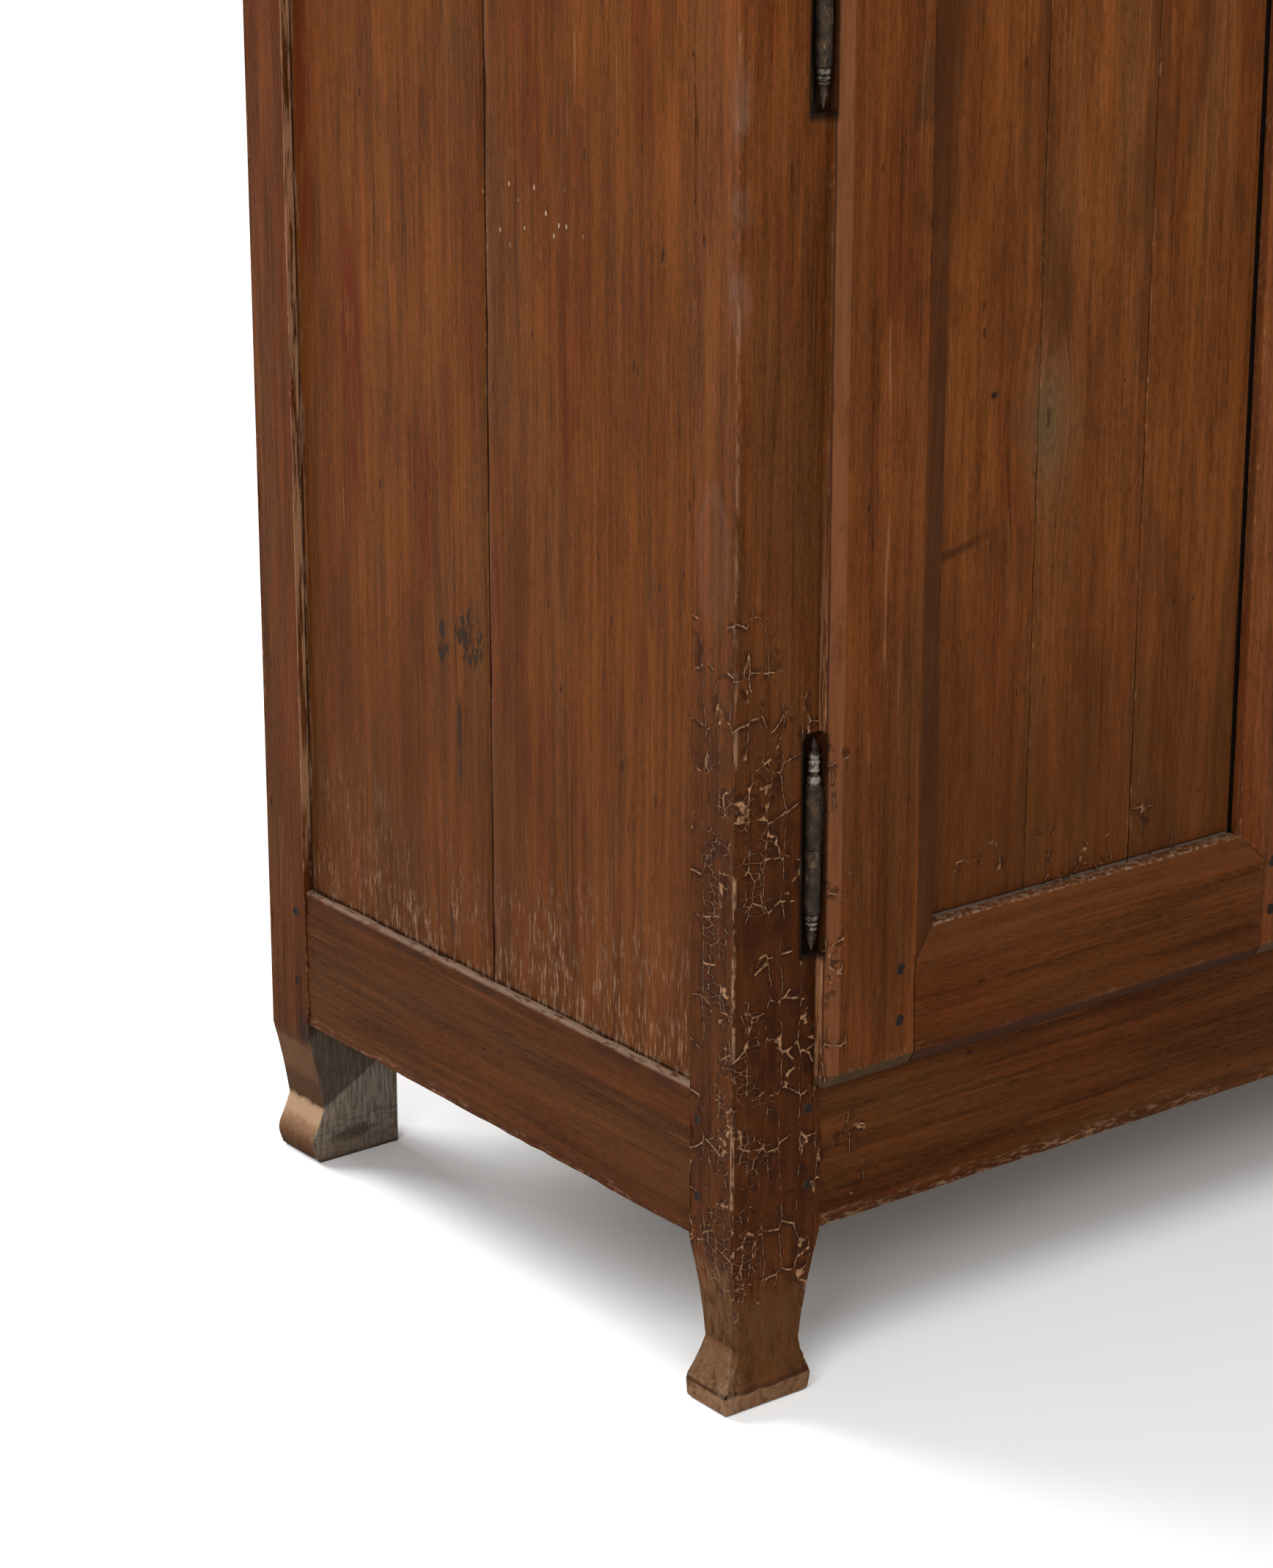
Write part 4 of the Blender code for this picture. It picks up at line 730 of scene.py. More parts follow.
def stile_marks(made, colour, height, roughness):
    across, back, up = made.parts(made.mirrored_place)
    cloud = made.patches(18.0, 4, 0.65)
    upright = made.streaks((1, 1, 0.10), 300.0, 4, 0.65)
    # Painted light, with some rubbing: the moulded edge that faces the light from the left is painted pale
    # and pinkish.
    rubbed_and_lit = made.band(across, door_outer - moulding_width + 0.0006, door_outer - 0.0026, 0.0008)
    rubbed_and_lit = made.times(rubbed_and_lit, made.rise(back, front - 0.0070, front - 0.0078))
    moulding_light_share = made.plus(0.15, made.times(upright, 0.75))
    colour = made.stain(colour, (0.168, 0.064, 0.027), rubbed_and_lit, moulding_light_share)
    # Painted shade in the quirk, the small groove of the moulding.
    quirk = made.band(across, door_outer - 0.0026, door_outer - 0.0015, 0.0006)
    colour = made.stain(colour, (0.030, 0.011, 0.006), quirk, 0.7)
    # Painted highlight on the fillet at the outer edge, which faces the light from the left.
    fillet = made.times(made.rise(across, door_outer - 0.0016, door_outer - 0.0009),
                        made.rise(up, 0.80, 0.40))
    colour = made.stain(colour, (0.33, 0.155, 0.078), fillet, made.rise(upright, 0.40, 0.58), 0.65)
    grime = made.times(made.band(across, bevel_arris - 0.006, bevel_arris + 0.014, 0.010),
                       made.rise(up, 0.62, 0.95), made.rise(cloud, 0.40, 0.62))
    colour = made.stain(colour, (0.032, 0.012, 0.005), grime, 0.55)
    bruise = made.rise(made.streaks((1, 1, 0.3), 42.0, 5, 0.68), 0.54, 0.66)
    colour = made.stain(colour, (0.046, 0.0125, 0.0030), bruise, made.rise(upright, 0.38, 0.60), 0.55)
    # Painted shade: the bevel by the panel faces away from the light and is painted darker.
    on_bevel = made.band(across, panel_outer - 0.001, bevel_arris, 0.0006)
    bevel_share = made.plus(0.46, made.times(upright, 0.42), made.times(made.plus(cloud, -0.5), 0.5))
    colour = made.stain(colour, (0.040, 0.0125, 0.0032), on_bevel, bevel_share)
    arris = made.plus(across, -bevel_arris, made.times(made.plus(cloud, -0.5), 0.0030))
    crack = made.times(made.rise(made.maths("ABSOLUTE", arris), 0.0009, 0.0004), made.rise(up, 0.74, 0.84),
                       made.rise(upright, 0.44, 0.52))
    colour = made.stain(colour, (0.010, 0.006, 0.004), crack, 0.85)
    end = made.rise(up, door_low + 0.0100, door_low + 0.0085)
    colour = made.stain(colour, (0.040, 0.028, 0.014), end, 0.75)
    closing = made.rise(across, 0.150, 0.140)
    colour = made.mix(closing, colour, (1.40, 1.38, 1.60), "MULTIPLY")
    near_hinge = made.times(made.rise(across, door_outer - 0.030, door_outer - 0.006),
                            made.rise(up, 0.56, 0.50))
    colour, height = crackle(made, colour, height, made.times(near_hinge, 0.55), 0.0)
    return hinge_shadow(made, colour), height, roughness


def door_rail_marks(made, colour, height, roughness):
    across, back, up = made.parts(made.mirrored_place)
    cloud = made.patches(20.0, 4, 0.65)
    fine = made.patches(260.0, 4, 0.7)
    bevel_low = panel_low - bevel_width
    on_bevel = made.band(up, bevel_low + 0.001, panel_low, 0.0006)
    colour = made.stain(colour, (0.092, 0.030, 0.010), on_bevel, made.plus(0.10, made.times(cloud, 0.45)))
    line = made.band(up, panel_low - 0.0016, panel_low + 0.001, 0.0006)
    colour = made.stain(colour, (0.27, 0.19, 0.135), line, made.rise(fine, 0.46, 0.60), 0.5)
    # Painted shade on the rail's lower edge, which faces down.
    underside_shade = made.rise(up, door_low + 0.0100, door_low + 0.0070)
    colour = made.stain(colour, (0.026, 0.012, 0.007), underside_shade, 0.7)
    return colour, height, roughness


# %% [markdown]
# The carcass rails are the darkest wood. The front rail is scraped pale along its lower edge, and
# the side rails' top edges are rounded ledges where grey dust lies.

# %% Marks on the carcass rails
def front_rail_marks(made, colour, height, roughness):
    across, back, up = made.parts(made.mirrored_place)
    cloud = made.patches(12.0, 4, 0.65)
    fine = made.streaks((0.25, 1, 1), 330.0, 4, 0.7)
    scraped = made.times(made.rise(up, foot_top + 0.016, foot_top + 0.001), made.rise(fine, 0.50, 0.62),
                         made.rise(cloud, 0.38, 0.58))
    colour = made.stain(colour, (0.30, 0.17, 0.095), scraped, 0.55)
    shadow = made.band(up, rail_top - 0.004, rail_top + 0.010, 0.016)
    colour = made.stain(colour, (0.030, 0.013, 0.007), shadow, 0.45)
    near_post = made.times(made.rise(across, side_plane - 0.150, side_plane - 0.09),
                           made.band(up, 0.16, rail_top, 0.03))
    colour, height = crackle(made, colour, height, made.times(near_post, 0.8), 0.0)
    return colour, height, roughness


def side_rail_marks(made, colour, height, roughness):
    across, back, up = made.parts(made.mirrored_place)
    fine = made.streaks((1, 0.25, 1), 260.0, 5, 0.72)
    cloud = made.patches(22.0, 4, 0.65)
    ledge = made.times(made.band(up, boards_low - 0.0012, boards_low + 0.010, 0.0033),
                       made.rise(fine, 0.34, 0.50))
    colour = made.stain(colour, (0.26, 0.180, 0.130), ledge, 0.52)
    under = made.times(made.band(up, boards_low - 0.0090, boards_low - 0.0052, 0.002),
                       made.rise(cloud, 0.42, 0.56))
    colour = made.stain(colour, (0.026, 0.011, 0.006), under, 0.6)
    scraped = made.times(made.rise(up, foot_top + 0.012, foot_top + 0.001), made.rise(fine, 0.52, 0.64))
    colour = made.stain(colour, (0.28, 0.16, 0.095), scraped, 0.45)
    return colour, height, made.plus(roughness, made.times(ledge, 0.2))


# %% [markdown]
# The finishes differ in tone, in grain direction and in their marks. Upright pieces have their grain
# along z, the front rails along x and the side rails along y. Bare boards inside are dull and greyish.

# %% Mix the wood finishes
waxed_tones = {"brown": (0.078, 0.0202, 0.0044), "olive": (0.080, 0.0285, 0.0080),
               "orange": (0.114, 0.0340, 0.0088), "ruddy": (0.070, 0.0112, 0.0021)}
board_tones = {"brown": (0.101, 0.0292, 0.0064), "olive": (0.099, 0.0385, 0.0120),
               "orange": (0.143, 0.0445, 0.0112), "ruddy": (0.088, 0.0145, 0.0030)}
rail_tones = {"brown": (0.063, 0.0172, 0.0036), "olive": (0.065, 0.0228, 0.0062),
              "orange": (0.090, 0.0268, 0.0064), "ruddy": (0.060, 0.0100, 0.0018)}
door_rail_tones = {"brown": (0.076, 0.0210, 0.0044), "olive": (0.078, 0.0276, 0.0076),
                   "orange": (0.110, 0.0330, 0.0082), "ruddy": (0.073, 0.0125, 0.0023)}
side_tones = {"brown": (0.086, 0.0232, 0.0040), "olive": (0.085, 0.0300, 0.0076),
              "orange": (0.124, 0.0360, 0.0070), "ruddy": (0.078, 0.0125, 0.0022)}
rail_gold = (0.125, 0.040, 0.012)
bare_tones = {"brown": (0.150, 0.095, 0.054), "olive": (0.165, 0.115, 0.071),
              "orange": (0.215, 0.130, 0.071), "ruddy": (0.125, 0.068, 0.034)}
post_wood = waxed_wood("front_post_wood", "z", **waxed_tones, marks=front_post_marks, wear=0.45)
rear_post_wood = waxed_wood("rear_post_wood", "z", **waxed_tones, marks=rear_post_marks)
stile_wood = waxed_wood("stile_wood", "z", **waxed_tones, marks=stile_marks, wear=0.4)
centre_post_wood = waxed_wood("centre_post_wood", "z", **waxed_tones)
side_board_wood = waxed_wood("side_board_wood", "z", **side_tones, marks=side_board_marks)
door_board_wood = waxed_wood("door_board_wood", "z", **board_tones, marks=door_panel_marks,
                             bend=grain_round_knot, ruddy_share=0.4)
door_rail_wood = waxed_wood("door_rail_wood", "x", **door_rail_tones, marks=door_rail_marks, wear=0.4,
                            golden=rail_gold)
front_rail_wood = waxed_wood("front_rail_wood", "x", **rail_tones, marks=front_rail_marks, wear=0.5,
                             golden=rail_gold)
side_rail_wood = waxed_wood("side_rail_wood", "y", **rail_tones, marks=side_rail_marks, wear=0.6,
                            golden=rail_gold)
cornice_front_wood = waxed_wood("cornice_front_wood", "x", **waxed_tones)
cornice_side_wood = waxed_wood("cornice_side_wood", "y", **waxed_tones)
bare_upright = waxed_wood("bare_upright_wood", "z", **bare_tones, gloss=0.85)
bare_long = waxed_wood("bare_long_wood", "x", **bare_tones, gloss=0.85)
bare_deep = waxed_wood("bare_deep_wood", "y", **bare_tones, gloss=0.85)


# %% [markdown]
# ## Hand-forged iron
# The hinges are black and pitted where nothing rubs, and pale bare metal shows on their rings and
# tips, partly as wear and partly as a painted highlight.
# The high spots come from the edge attribute, and long scratches show a warm, almost brassy wear.

# %% Aged iron recipe
def iron(name, dark, bright, rust, warm=(0.20, 0.135, 0.070), gloss=0.40):
    made = Finish(name, specular=0.5, metallic=1.0)
    place = made.object_place
    patch = made.noise(place, 120.0, 5, 0.65)
    pits = made.noise(place, 900.0, 4, 0.6)
    drawn = made.noise(made.scaled(place, (1, 1, 0.25)), 330.0, 4, 0.7)
    high = made.attribute("edge")
    colour = made.mix(made.rise(patch, 0.40, 0.66), dark, rust)
    colour = made.stain(colour, warm, made.rise(drawn, 0.57, 0.66), made.rise(patch, 0.42, 0.55), 0.75)
    # Pale bare metal on the high spots: partly wear and partly a painted highlight.
    rubbed_and_lit = made.rise(made.waver(high, patch, 1.4), 0.78, 1.10)
    colour = made.stain(colour, bright, rubbed_and_lit)
    colour = made.stain(colour, (0.008, 0.006, 0.005), made.rise(pits, 0.46, 0.34), 0.75)
    roughness = made.plus(gloss - 0.02, made.times(patch, 0.25), made.times(rubbed_and_lit, -0.20))
    return made.finish(colour, roughness, made.plus(pits, patch), 0.0006)


hinge_iron = iron("hinge_iron", (0.034, 0.026, 0.020), (0.25, 0.215, 0.175), (0.072, 0.046, 0.030))
lock_iron = iron("lock_iron", (0.040, 0.033, 0.028), (0.30, 0.27, 0.23), (0.075, 0.042, 0.026))
key_iron = iron("bright_key_iron", (0.10, 0.088, 0.075), (0.42, 0.38, 0.33), (0.09, 0.055, 0.034),
                gloss=0.34)


# %% [markdown]
# ## Worn copies of the wooden pieces
# A joiner's edges are crisp only on the day they are cut. Each wooden node is copied, its loose
# triangles are merged, its sharp outer edges are bevelled, and it is sliced into bands, so that its
# surface can be moved a little and can carry the edge attribute for wear and the nook attribute for
# dust and painted shade. The surface is only ever worn away, so nothing new touches.

# %% Copy a node and clean it
reach_of_wear = 0.012


def select_only(piece):
    deselect()
    piece.select_set(True)
    bpy.context.view_layer.objects.active = piece


def edit(piece, mode="VERT"):
    """Go into edit mode on one piece with nothing selected."""
    select_only(piece)
    bpy.ops.object.mode_set(mode="EDIT")
    bpy.ops.mesh.select_mode(type=mode)
    bpy.ops.mesh.select_all(action="DESELECT")


def clean_copy(node, name):
    """A new object with the node's mesh, merged and with flat faces made whole."""
    piece = bpy.data.objects.new(name, frame["nodes"][node].data.copy())
    bpy.context.scene.collection.objects.link(piece)
    piece.data.materials.clear()
    edit(piece)
    bpy.ops.mesh.customdata_custom_splitnormals_clear()
    bpy.ops.mesh.select_all(action="SELECT")
    bpy.ops.mesh.remove_doubles(threshold=0.00001)
    bpy.ops.mesh.dissolve_limited(angle_limit=math.radians(0.5))
    bpy.ops.object.mode_set(mode="OBJECT")
    return piece


# %% [markdown]
# An edge is worth rounding when it is sharp and turns outwards. Its two faces tell: the angle between
# them gives the sharpness, and the line between their middles says whether the corner is an outer one.
# A bevel is never wider than its short neighbours allow, so small outlines stay in shape.

# %% Find and bevel sharp edges
def sharp_edges(mesh, smallest=0.42):
    """(index, start, end, convex) of each edge whose faces turn by more than the smallest angle."""
    faces_of = {}
    for face in mesh.polygons:
        for key in face.edge_keys:
            faces_of.setdefault(key, []).append(face)
    found = []
    for line in mesh.edges:
        faces = faces_of.get(line.key, [])
        if len(faces) != 2 or faces[0].normal.angle(faces[1].normal, 0) < smallest:
            continue
        start, end = (mesh.vertices[index].co.copy() for index in line.vertices)
        across = faces[1].center - faces[0].center
        found.append((line.index, start, end, faces[0].normal.dot(across) < 0))
    return found


def bevel_edges(piece, width, wanted=None, segments=2, smallest=0.42):
    """Bevel the convex sharp edges, or those that the test wanted(start, end) picks."""
    chosen = [index for index, start, end, convex in sharp_edges(piece.data, smallest)
              if convex and (wanted(start, end) if wanted else (end - start).length > 0.010)]
    edit(piece, "EDGE")
    bpy.ops.object.mode_set(mode="OBJECT")
    for index in chosen:
        piece.data.edges[index].select = True
    bpy.ops.object.mode_set(mode="EDIT")
    if chosen:
        bpy.ops.mesh.bevel(offset=width, segments=segments, affect="EDGES", clamp_overlap=True)
    bpy.ops.mesh.select_mode(type="VERT")
    bpy.ops.object.mode_set(mode="OBJECT")


# %% [markdown]
# A flat board has too few points to be worn. Parallel cuts across each axis give it an even net of
# points, which keeps every face in its own plane until the wear moves it.

# %% Slice into bands
def slice_at(piece, axis, places):
    """Cut a piece with planes across one axis."""
    edit(piece)
    normal = [0, 0, 0]
    normal[axis] = 1
    for place in places:
        point = [0, 0, 0]
        point[axis] = place
        bpy.ops.mesh.select_all(action="SELECT")
        bpy.ops.mesh.bisect(plane_co=point, plane_no=normal)
    bpy.ops.object.mode_set(mode="OBJECT")


def slice_bands(piece, steps, margin=0.010):
    """Cut the piece into bands of about the given width along each axis, starting near its ends."""
    corners = np.array([vertex.co for vertex in piece.data.vertices])
    for axis, step in enumerate(steps):
        low = corners[:, axis].min()
        size = corners[:, axis].max() - low
        if not step or size < 0.004:
            continue
        start = min(margin, size / 3)
        count = max(1, round((size - 2 * start) / step))
        slice_at(piece, axis,
                 [low + start + (size - 2 * start) * number / count for number in range(count + 1)])


# %% [markdown]
# The back, floor, shelves and roof look like several rough boards. A V-shaped joint is cut by slicing
# the face three times and pressing the middle cut inwards, so no separate boards are needed.

# %% Joints between boards
def press_joints(piece, axis, places, face_axis, width=0.0016, depth=0.0018):
    """Press a V into both faces of a panel at each place along an axis."""
    corners = np.array([vertex.co for vertex in piece.data.vertices])
    low = corners[:, face_axis].min()
    high = corners[:, face_axis].max()
    slice_at(piece, axis, [place + offset for place in places for offset in (-width, 0, width)])
    for vertex in piece.data.vertices:
        if min(abs(vertex.co[axis] - place) for place in places) > 1e-5:
            continue
        if vertex.co[face_axis] > high - 1e-4:
            vertex.co[face_axis] -= depth
        elif vertex.co[face_axis] < low + 1e-4:
            vertex.co[face_axis] += depth


def even_joints(node, axis, boards):
    """Places that share a node out between some boards of nearly equal width."""
    low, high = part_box(node)
    width = (high[axis] - low[axis]) / boards
    return [low[axis] + width * (number + random.uniform(-0.12, 0.12)) for number in range(1, boards)]


# %% [markdown]
# Wear is worked out from distance: points near an outer edge are rubbed and points near an inner
# corner gather dust and painted shade. A slow pattern moves the whole surface a little and a quick one
# dents the edges.

# %% Wear a piece
def distance_to_lines(points, lines):
    """The distance from each point to the nearest of some straight lines."""
    nearest = np.full(len(points), 1.0)
    for start, end in lines:
        start = np.array(start)
        along = np.array(end) - start
        share = np.clip((points - start) @ along / max(along @ along, 1e-12), 0, 1)
        nearest = np.minimum(nearest, np.linalg.norm(points - start - share[:, None] * along, axis=1))
    return nearest


def write_attribute(piece, name, values):
    layer = piece.data.attributes.get(name) or piece.data.attributes.new(name, "FLOAT", "POINT")
    layer.data.foreach_set("value", np.asarray(values, np.float32))


def facing_of_points(mesh):
    """Which way each vertex faces. Large faces count more, and a vertex among slivers faces nowhere."""
    total = np.zeros((len(mesh.vertices), 3))
    for face in mesh.polygons:
        total[list(face.vertices)] += np.array(face.normal) * face.area
    size = np.linalg.norm(total, axis=1)[:, None]
    return np.where(size > 1e-8, total / np.maximum(size, 1e-8), 0.0)


def wear_piece(piece, convex, concave, board, dent, wobble):
    """Write the edge, nook and board attributes, then move the surface inwards a little."""
    points = np.array([vertex.co for vertex in piece.data.vertices])
    near_edge = np.clip(1 - distance_to_lines(points, convex) / reach_of_wear, 0, 1)
    write_attribute(piece, "edge", near_edge)
    write_attribute(piece, "nook", np.clip(1 - distance_to_lines(points, concave) / reach_of_wear, 0, 1))
    write_attribute(piece, "board", np.full(len(points), board))
    for vertex, facing, edge in zip(piece.data.vertices, facing_of_points(piece.data), near_edge):
        spot_place = vertex.co + Vector((board, board, board))
        slow = 0.5 + 0.5 * noise.noise(spot_place * 9.0)
        quick = max(0.0, noise.noise(spot_place * 55.0))
        vertex.co -= Vector(facing) * (wobble * slow + dent * quick * edge * edge)
    piece.data.update()


def settle(piece, node, material):
    """Give a piece its finish and let it stand for its node."""
    piece.data.materials.append(material)
    select_only(piece)
    bpy.ops.object.shade_smooth_by_angle(angle=math.radians(34))
    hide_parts(node)
    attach(piece, body_of[node])
    return piece


# %% [markdown]
# One function now takes a wooden node from its crisp shape to its worn one. Each node gets a number of
# its own, which shifts the grain, so that no two boards look alike.

# %% Worn copy
random.seed(7)
board_number = {node: random.uniform(0, 1) for node in sorted(frame["nodes"])}


def worn_copy(node, material, bevel=0.0010, steps=(0, 0, 0), dent=0.0012, wobble=0.00035, before=None,
              joints=None):
    """Copy, bevel, slice and wear one wooden node, and let the copy stand for it."""
    piece = clean_copy(node, "worn_" + node)
    found = sharp_edges(piece.data)
    if before:
        before(piece)
    bevel_edges(piece, bevel)
    slice_bands(piece, steps)
    if joints:
        press_joints(piece, *joints)
    wear_piece(piece, [(start, end) for index, start, end, out in found if out],
               [(start, end) for index, start, end, out in found if not out], board_number[node], dent,
               wobble)
    if joints:
        axis, places, face_axis = joints
        number = [board_number[node] + 0.61 * sum(vertex.co[axis] > place for place in places)
                  for vertex in piece.data.vertices]
        write_attribute(piece, "board", number)
    return settle(piece, node, material)


# %% [markdown]
# ## Posts and feet
# The posts are the pieces that everything else is pegged into. Their arrises are the most rubbed, and
# the feet have lost their corners to mops and boots. So the foot edges are bevelled first, as wide as
# the short edges of their outline allow, and then the rest. The rear bulb's ridges are softened too.

# %% Posts
def round_front_foot(piece):
    bevel_edges(piece, 0.0032, lambda start, end: max(start.z, end.z) < 0.0005, 3)
    bevel_edges(piece, 0.0022, lambda start,
                end: max(start.z, end.z) < 0.130 and abs(start.z - end.z) > 0.004, 3)
    bevel_edges(piece, 0.0020, lambda start, end: min(start.z, end.z) > 0.095 and abs(start.z - end.z) > 0.3
                and min(start.y, end.y) < front + 0.001 and abs(start.x) > side_plane - 0.001, 3)


def round_rear_foot(piece):
    inner_side = side_plane - 0.045

    def ridge(start, end):
        return max(start.z, end.z) < 0.034 and abs(start.z - end.z) < 0.001 and abs(start.x) > inner_side \
            and abs(start.x - end.x) < 0.001
    bevel_edges(piece, 0.0045, ridge, 4, smallest=0.12)
    bevel_edges(piece, 0.0014, lambda start, end: max(start.z, end.z) < 0.120, 2)


upright_steps = (0.012, 0.009, 0.018)
for side in ("left", "right"):
    worn_copy(f"{side}_front_post", post_wood, 0.0010, upright_steps, 0.0016, before=round_front_foot)
    worn_copy(f"{side}_rear_post", rear_post_wood, 0.0012, upright_steps, 0.0016, before=round_rear_foot)
worn_copy("centre_post", centre_post_wood, 0.0012, upright_steps)
print("posts worn")

# %% [markdown]
# ## Rails
# The top edge of each lower side rail stands out as a ledge under the boards. It has been knocked
# round and chipped, so it gets a wide bevel and deeper dents than the crisp edges elsewhere.

# %% Rails
def round_ledge(piece):
    def ledge(start, end):
        return min(start.z, end.z) > boards_low - 0.0006 and abs(start.x) > side_plane - 0.0015 \
            and abs(end.x) > side_plane - 0.0015
    bevel_edges(piece, 0.0034, ledge, 3)


across_steps = (0.018, 0.009, 0.012)
back_steps = (0.009, 0.014, 0.008)
for side in ("left", "right"):
    worn_copy(f"{side}_bottom_side_rail", side_rail_wood, 0.0010, back_steps, 0.0030, before=round_ledge)
    worn_copy(f"{side}_top_side_rail", side_rail_wood, 0.0010, back_steps)
    worn_copy(f"cornice_{side}", cornice_side_wood, 0.0008, (0.02, 0.03, 0.02))
for label in ("bottom", "top"):
    worn_copy(f"front_{label}_rail", front_rail_wood, 0.0010, across_steps)
    worn_copy(f"rear_{label}_rail", bare_long, 0.0010, (0.04, 0.02, 0.03))
worn_copy("cornice_front", cornice_front_wood, 0.0008, (0.03, 0.02, 0.02))

# %% [markdown]
# ## Doors
# A door's frame is mitred only at its bevel, and its moulded outer edge runs off at the bottom into a
# tip. The tip is softened in the frame's plane before the small edges are bevelled.

# %% Door frames
def round_tips(piece):
    def tip(start, end):
        runs_inwards = abs(start.y - end.y) > 0.005 and abs(start.x - end.x) < 0.001
        return runs_inwards and abs(start.z - end.z) < 0.001 and abs(start.x) > door_outer - 0.001 \
            and min(start.y, end.y) < front - 0.005
    bevel_edges(piece, 0.0065, tip, 4)


for side in ("left", "right"):
    worn_copy(f"{side}_door_hinge_stile", stile_wood, 0.0009, upright_steps, 0.0012, before=round_tips)
    worn_copy(f"{side}_door_closing_stile", stile_wood, 0.0009, upright_steps, 0.0012)
    for label in ("bottom", "top"):
        worn_copy(f"{side}_door_{label}_rail", door_rail_wood, 0.0009, across_steps, 0.0012)

# %% [markdown]
# ## Boards
# The panels' boards are nodes of their own. The two halves of the back, the floor, the shelves and the
# roof are single solids, so each is divided here into several rough boards by pressed joints.

# %% Boards of the panels, back and inside
for node in sorted(frame["nodes"]):
    if slot_of[node] == "panel_wood":
        worn_copy(node, side_board_wood if "side" in node else door_board_wood, 0.0005, (0.03, 0.03, 0.03))
for node in ("left_back_board", "right_back_board"):
    worn_copy(node, bare_upright, 0.0006, (0.05, 0, 0.06), joints=(0, even_joints(node, 0, 3), 1))
for node, boards in (("floor_board", 3), ("lower_shelf", 3), ("upper_shelf", 3), ("roof_board", 4)):
    worn_copy(node, bare_long, 0.0010, (0.06, 0.05, 0), joints=(1, even_joints(node, 1, boards), 2))
for label in ("lower", "upper"):
    for side in ("left", "right"):
        worn_copy(f"{side}_{label}_shelf_batten", bare_deep, 0.0012, (0.012, 0.04, 0.012))
worn_copy("turn_button", bare_upright, 0.0010, (0.01, 0.004, 0.01))

# %% [markdown]
# ## Hinges
# Each hinge is a pin hinge turned on a lathe: a plain barrel, then a cap, a neck, rings and a pointed
# tip. The lower half carries a pin that the door is lifted off. A lathe shape is a ring that is
# extruded upwards and scaled at each step, so one list of radii and heights holds the whole profile.

# %% Turn a profile
def turned(name, profile, sides=28):
    """A closed turned piece round the vertical axis, from (radius, height) points, tip to tip."""
    deselect()
    radius, height = profile[0]
    bpy.ops.mesh.primitive_circle_add(vertices=sides, radius=radius, fill_type="NGON",
                                      location=(0, 0, height))
    piece = bpy.context.object
    piece.name = name
    bpy.ops.object.transform_apply(location=True)
    bpy.ops.object.mode_set(mode="EDIT")
    bpy.ops.mesh.select_all(action="SELECT")
    for next_radius, next_height in profile[1:]:
        bpy.ops.mesh.extrude_region_move(TRANSFORM_OT_translate={"value": (0, 0, next_height - height)})
        factor = next_radius / radius
        bpy.ops.transform.resize(value=(factor, factor, 1), center_override=(0, 0, next_height))
        radius, height = next_radius, next_height
    bpy.ops.mesh.select_all(action="SELECT")
    bpy.ops.mesh.normals_make_consistent(inside=False)
    bpy.ops.object.mode_set(mode="OBJECT")
    return piece


# %% [markdown]
# The two tips differ: the upper one is longer and has a small bead near its end. Radii and heights are
# in millimetres here, because such small turnings are read that way.

# %% Hinge profiles
lower_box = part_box("left_lower_hinge_lower_knuckle")
hinge_axis_y = upper_box[0].y + knuckle_radius
barrel = 0.0481
tiny = 0.0001
in_mm = 0.001
print("hinge heights", {label: round(height, 4) for label, height in hinge_heights.items()})

UPPER_FINIAL = [(5.9, 0.6), (5.0, 1.4), (5.5, 3.0), (5.6, 4.5), (5.2, 6.0), (4.3, 7.2), (3.5, 8.3),
                (3.6, 9.4), (4.1, 10.3), (4.8, 10.9), (4.9, 11.5), (4.7, 12.1), (4.2, 12.6), (4.1, 14.5),
                (4.3, 16.4), (4.8, 16.9), (5.0, 17.6), (4.7, 18.3), (3.9, 18.9), (3.7, 19.6), (4.1, 20.4),
                (4.4, 21.6), (4.1, 23.0), (3.1, 24.3), (2.0, 25.4), (1.8, 26.3), (2.3, 27.3), (2.9, 28.5),
                (2.9, 29.4), (2.5, 30.9), (1.8, 32.6), (1.0, 34.2), (0.4, 35.0)]
LOWER_FINIAL = [(6.0, 0.4), (4.4, 1.0), (4.9, 2.0), (5.3, 3.4), (5.0, 4.8), (4.0, 5.8), (3.9, 6.4),
                (5.0, 7.0), (5.4, 7.8), (5.0, 8.6), (3.9, 9.3), (3.7, 10.6), (4.4, 11.1), (4.5, 11.9),
                (3.9, 12.5), (3.0, 13.6), (2.9, 15.0), (3.5, 16.3), (3.7, 17.8), (3.3, 19.4), (2.7, 21.2),
                (1.9, 24.0), (1.1, 27.2), (0.3, 29.1)]


def barrel_rings(start, end, count=9):
    """The plain barrel, in rings so that it can be hammered."""
    return [(knuckle_radius, start + (end - start) * number / count) for number in range(count + 1)]


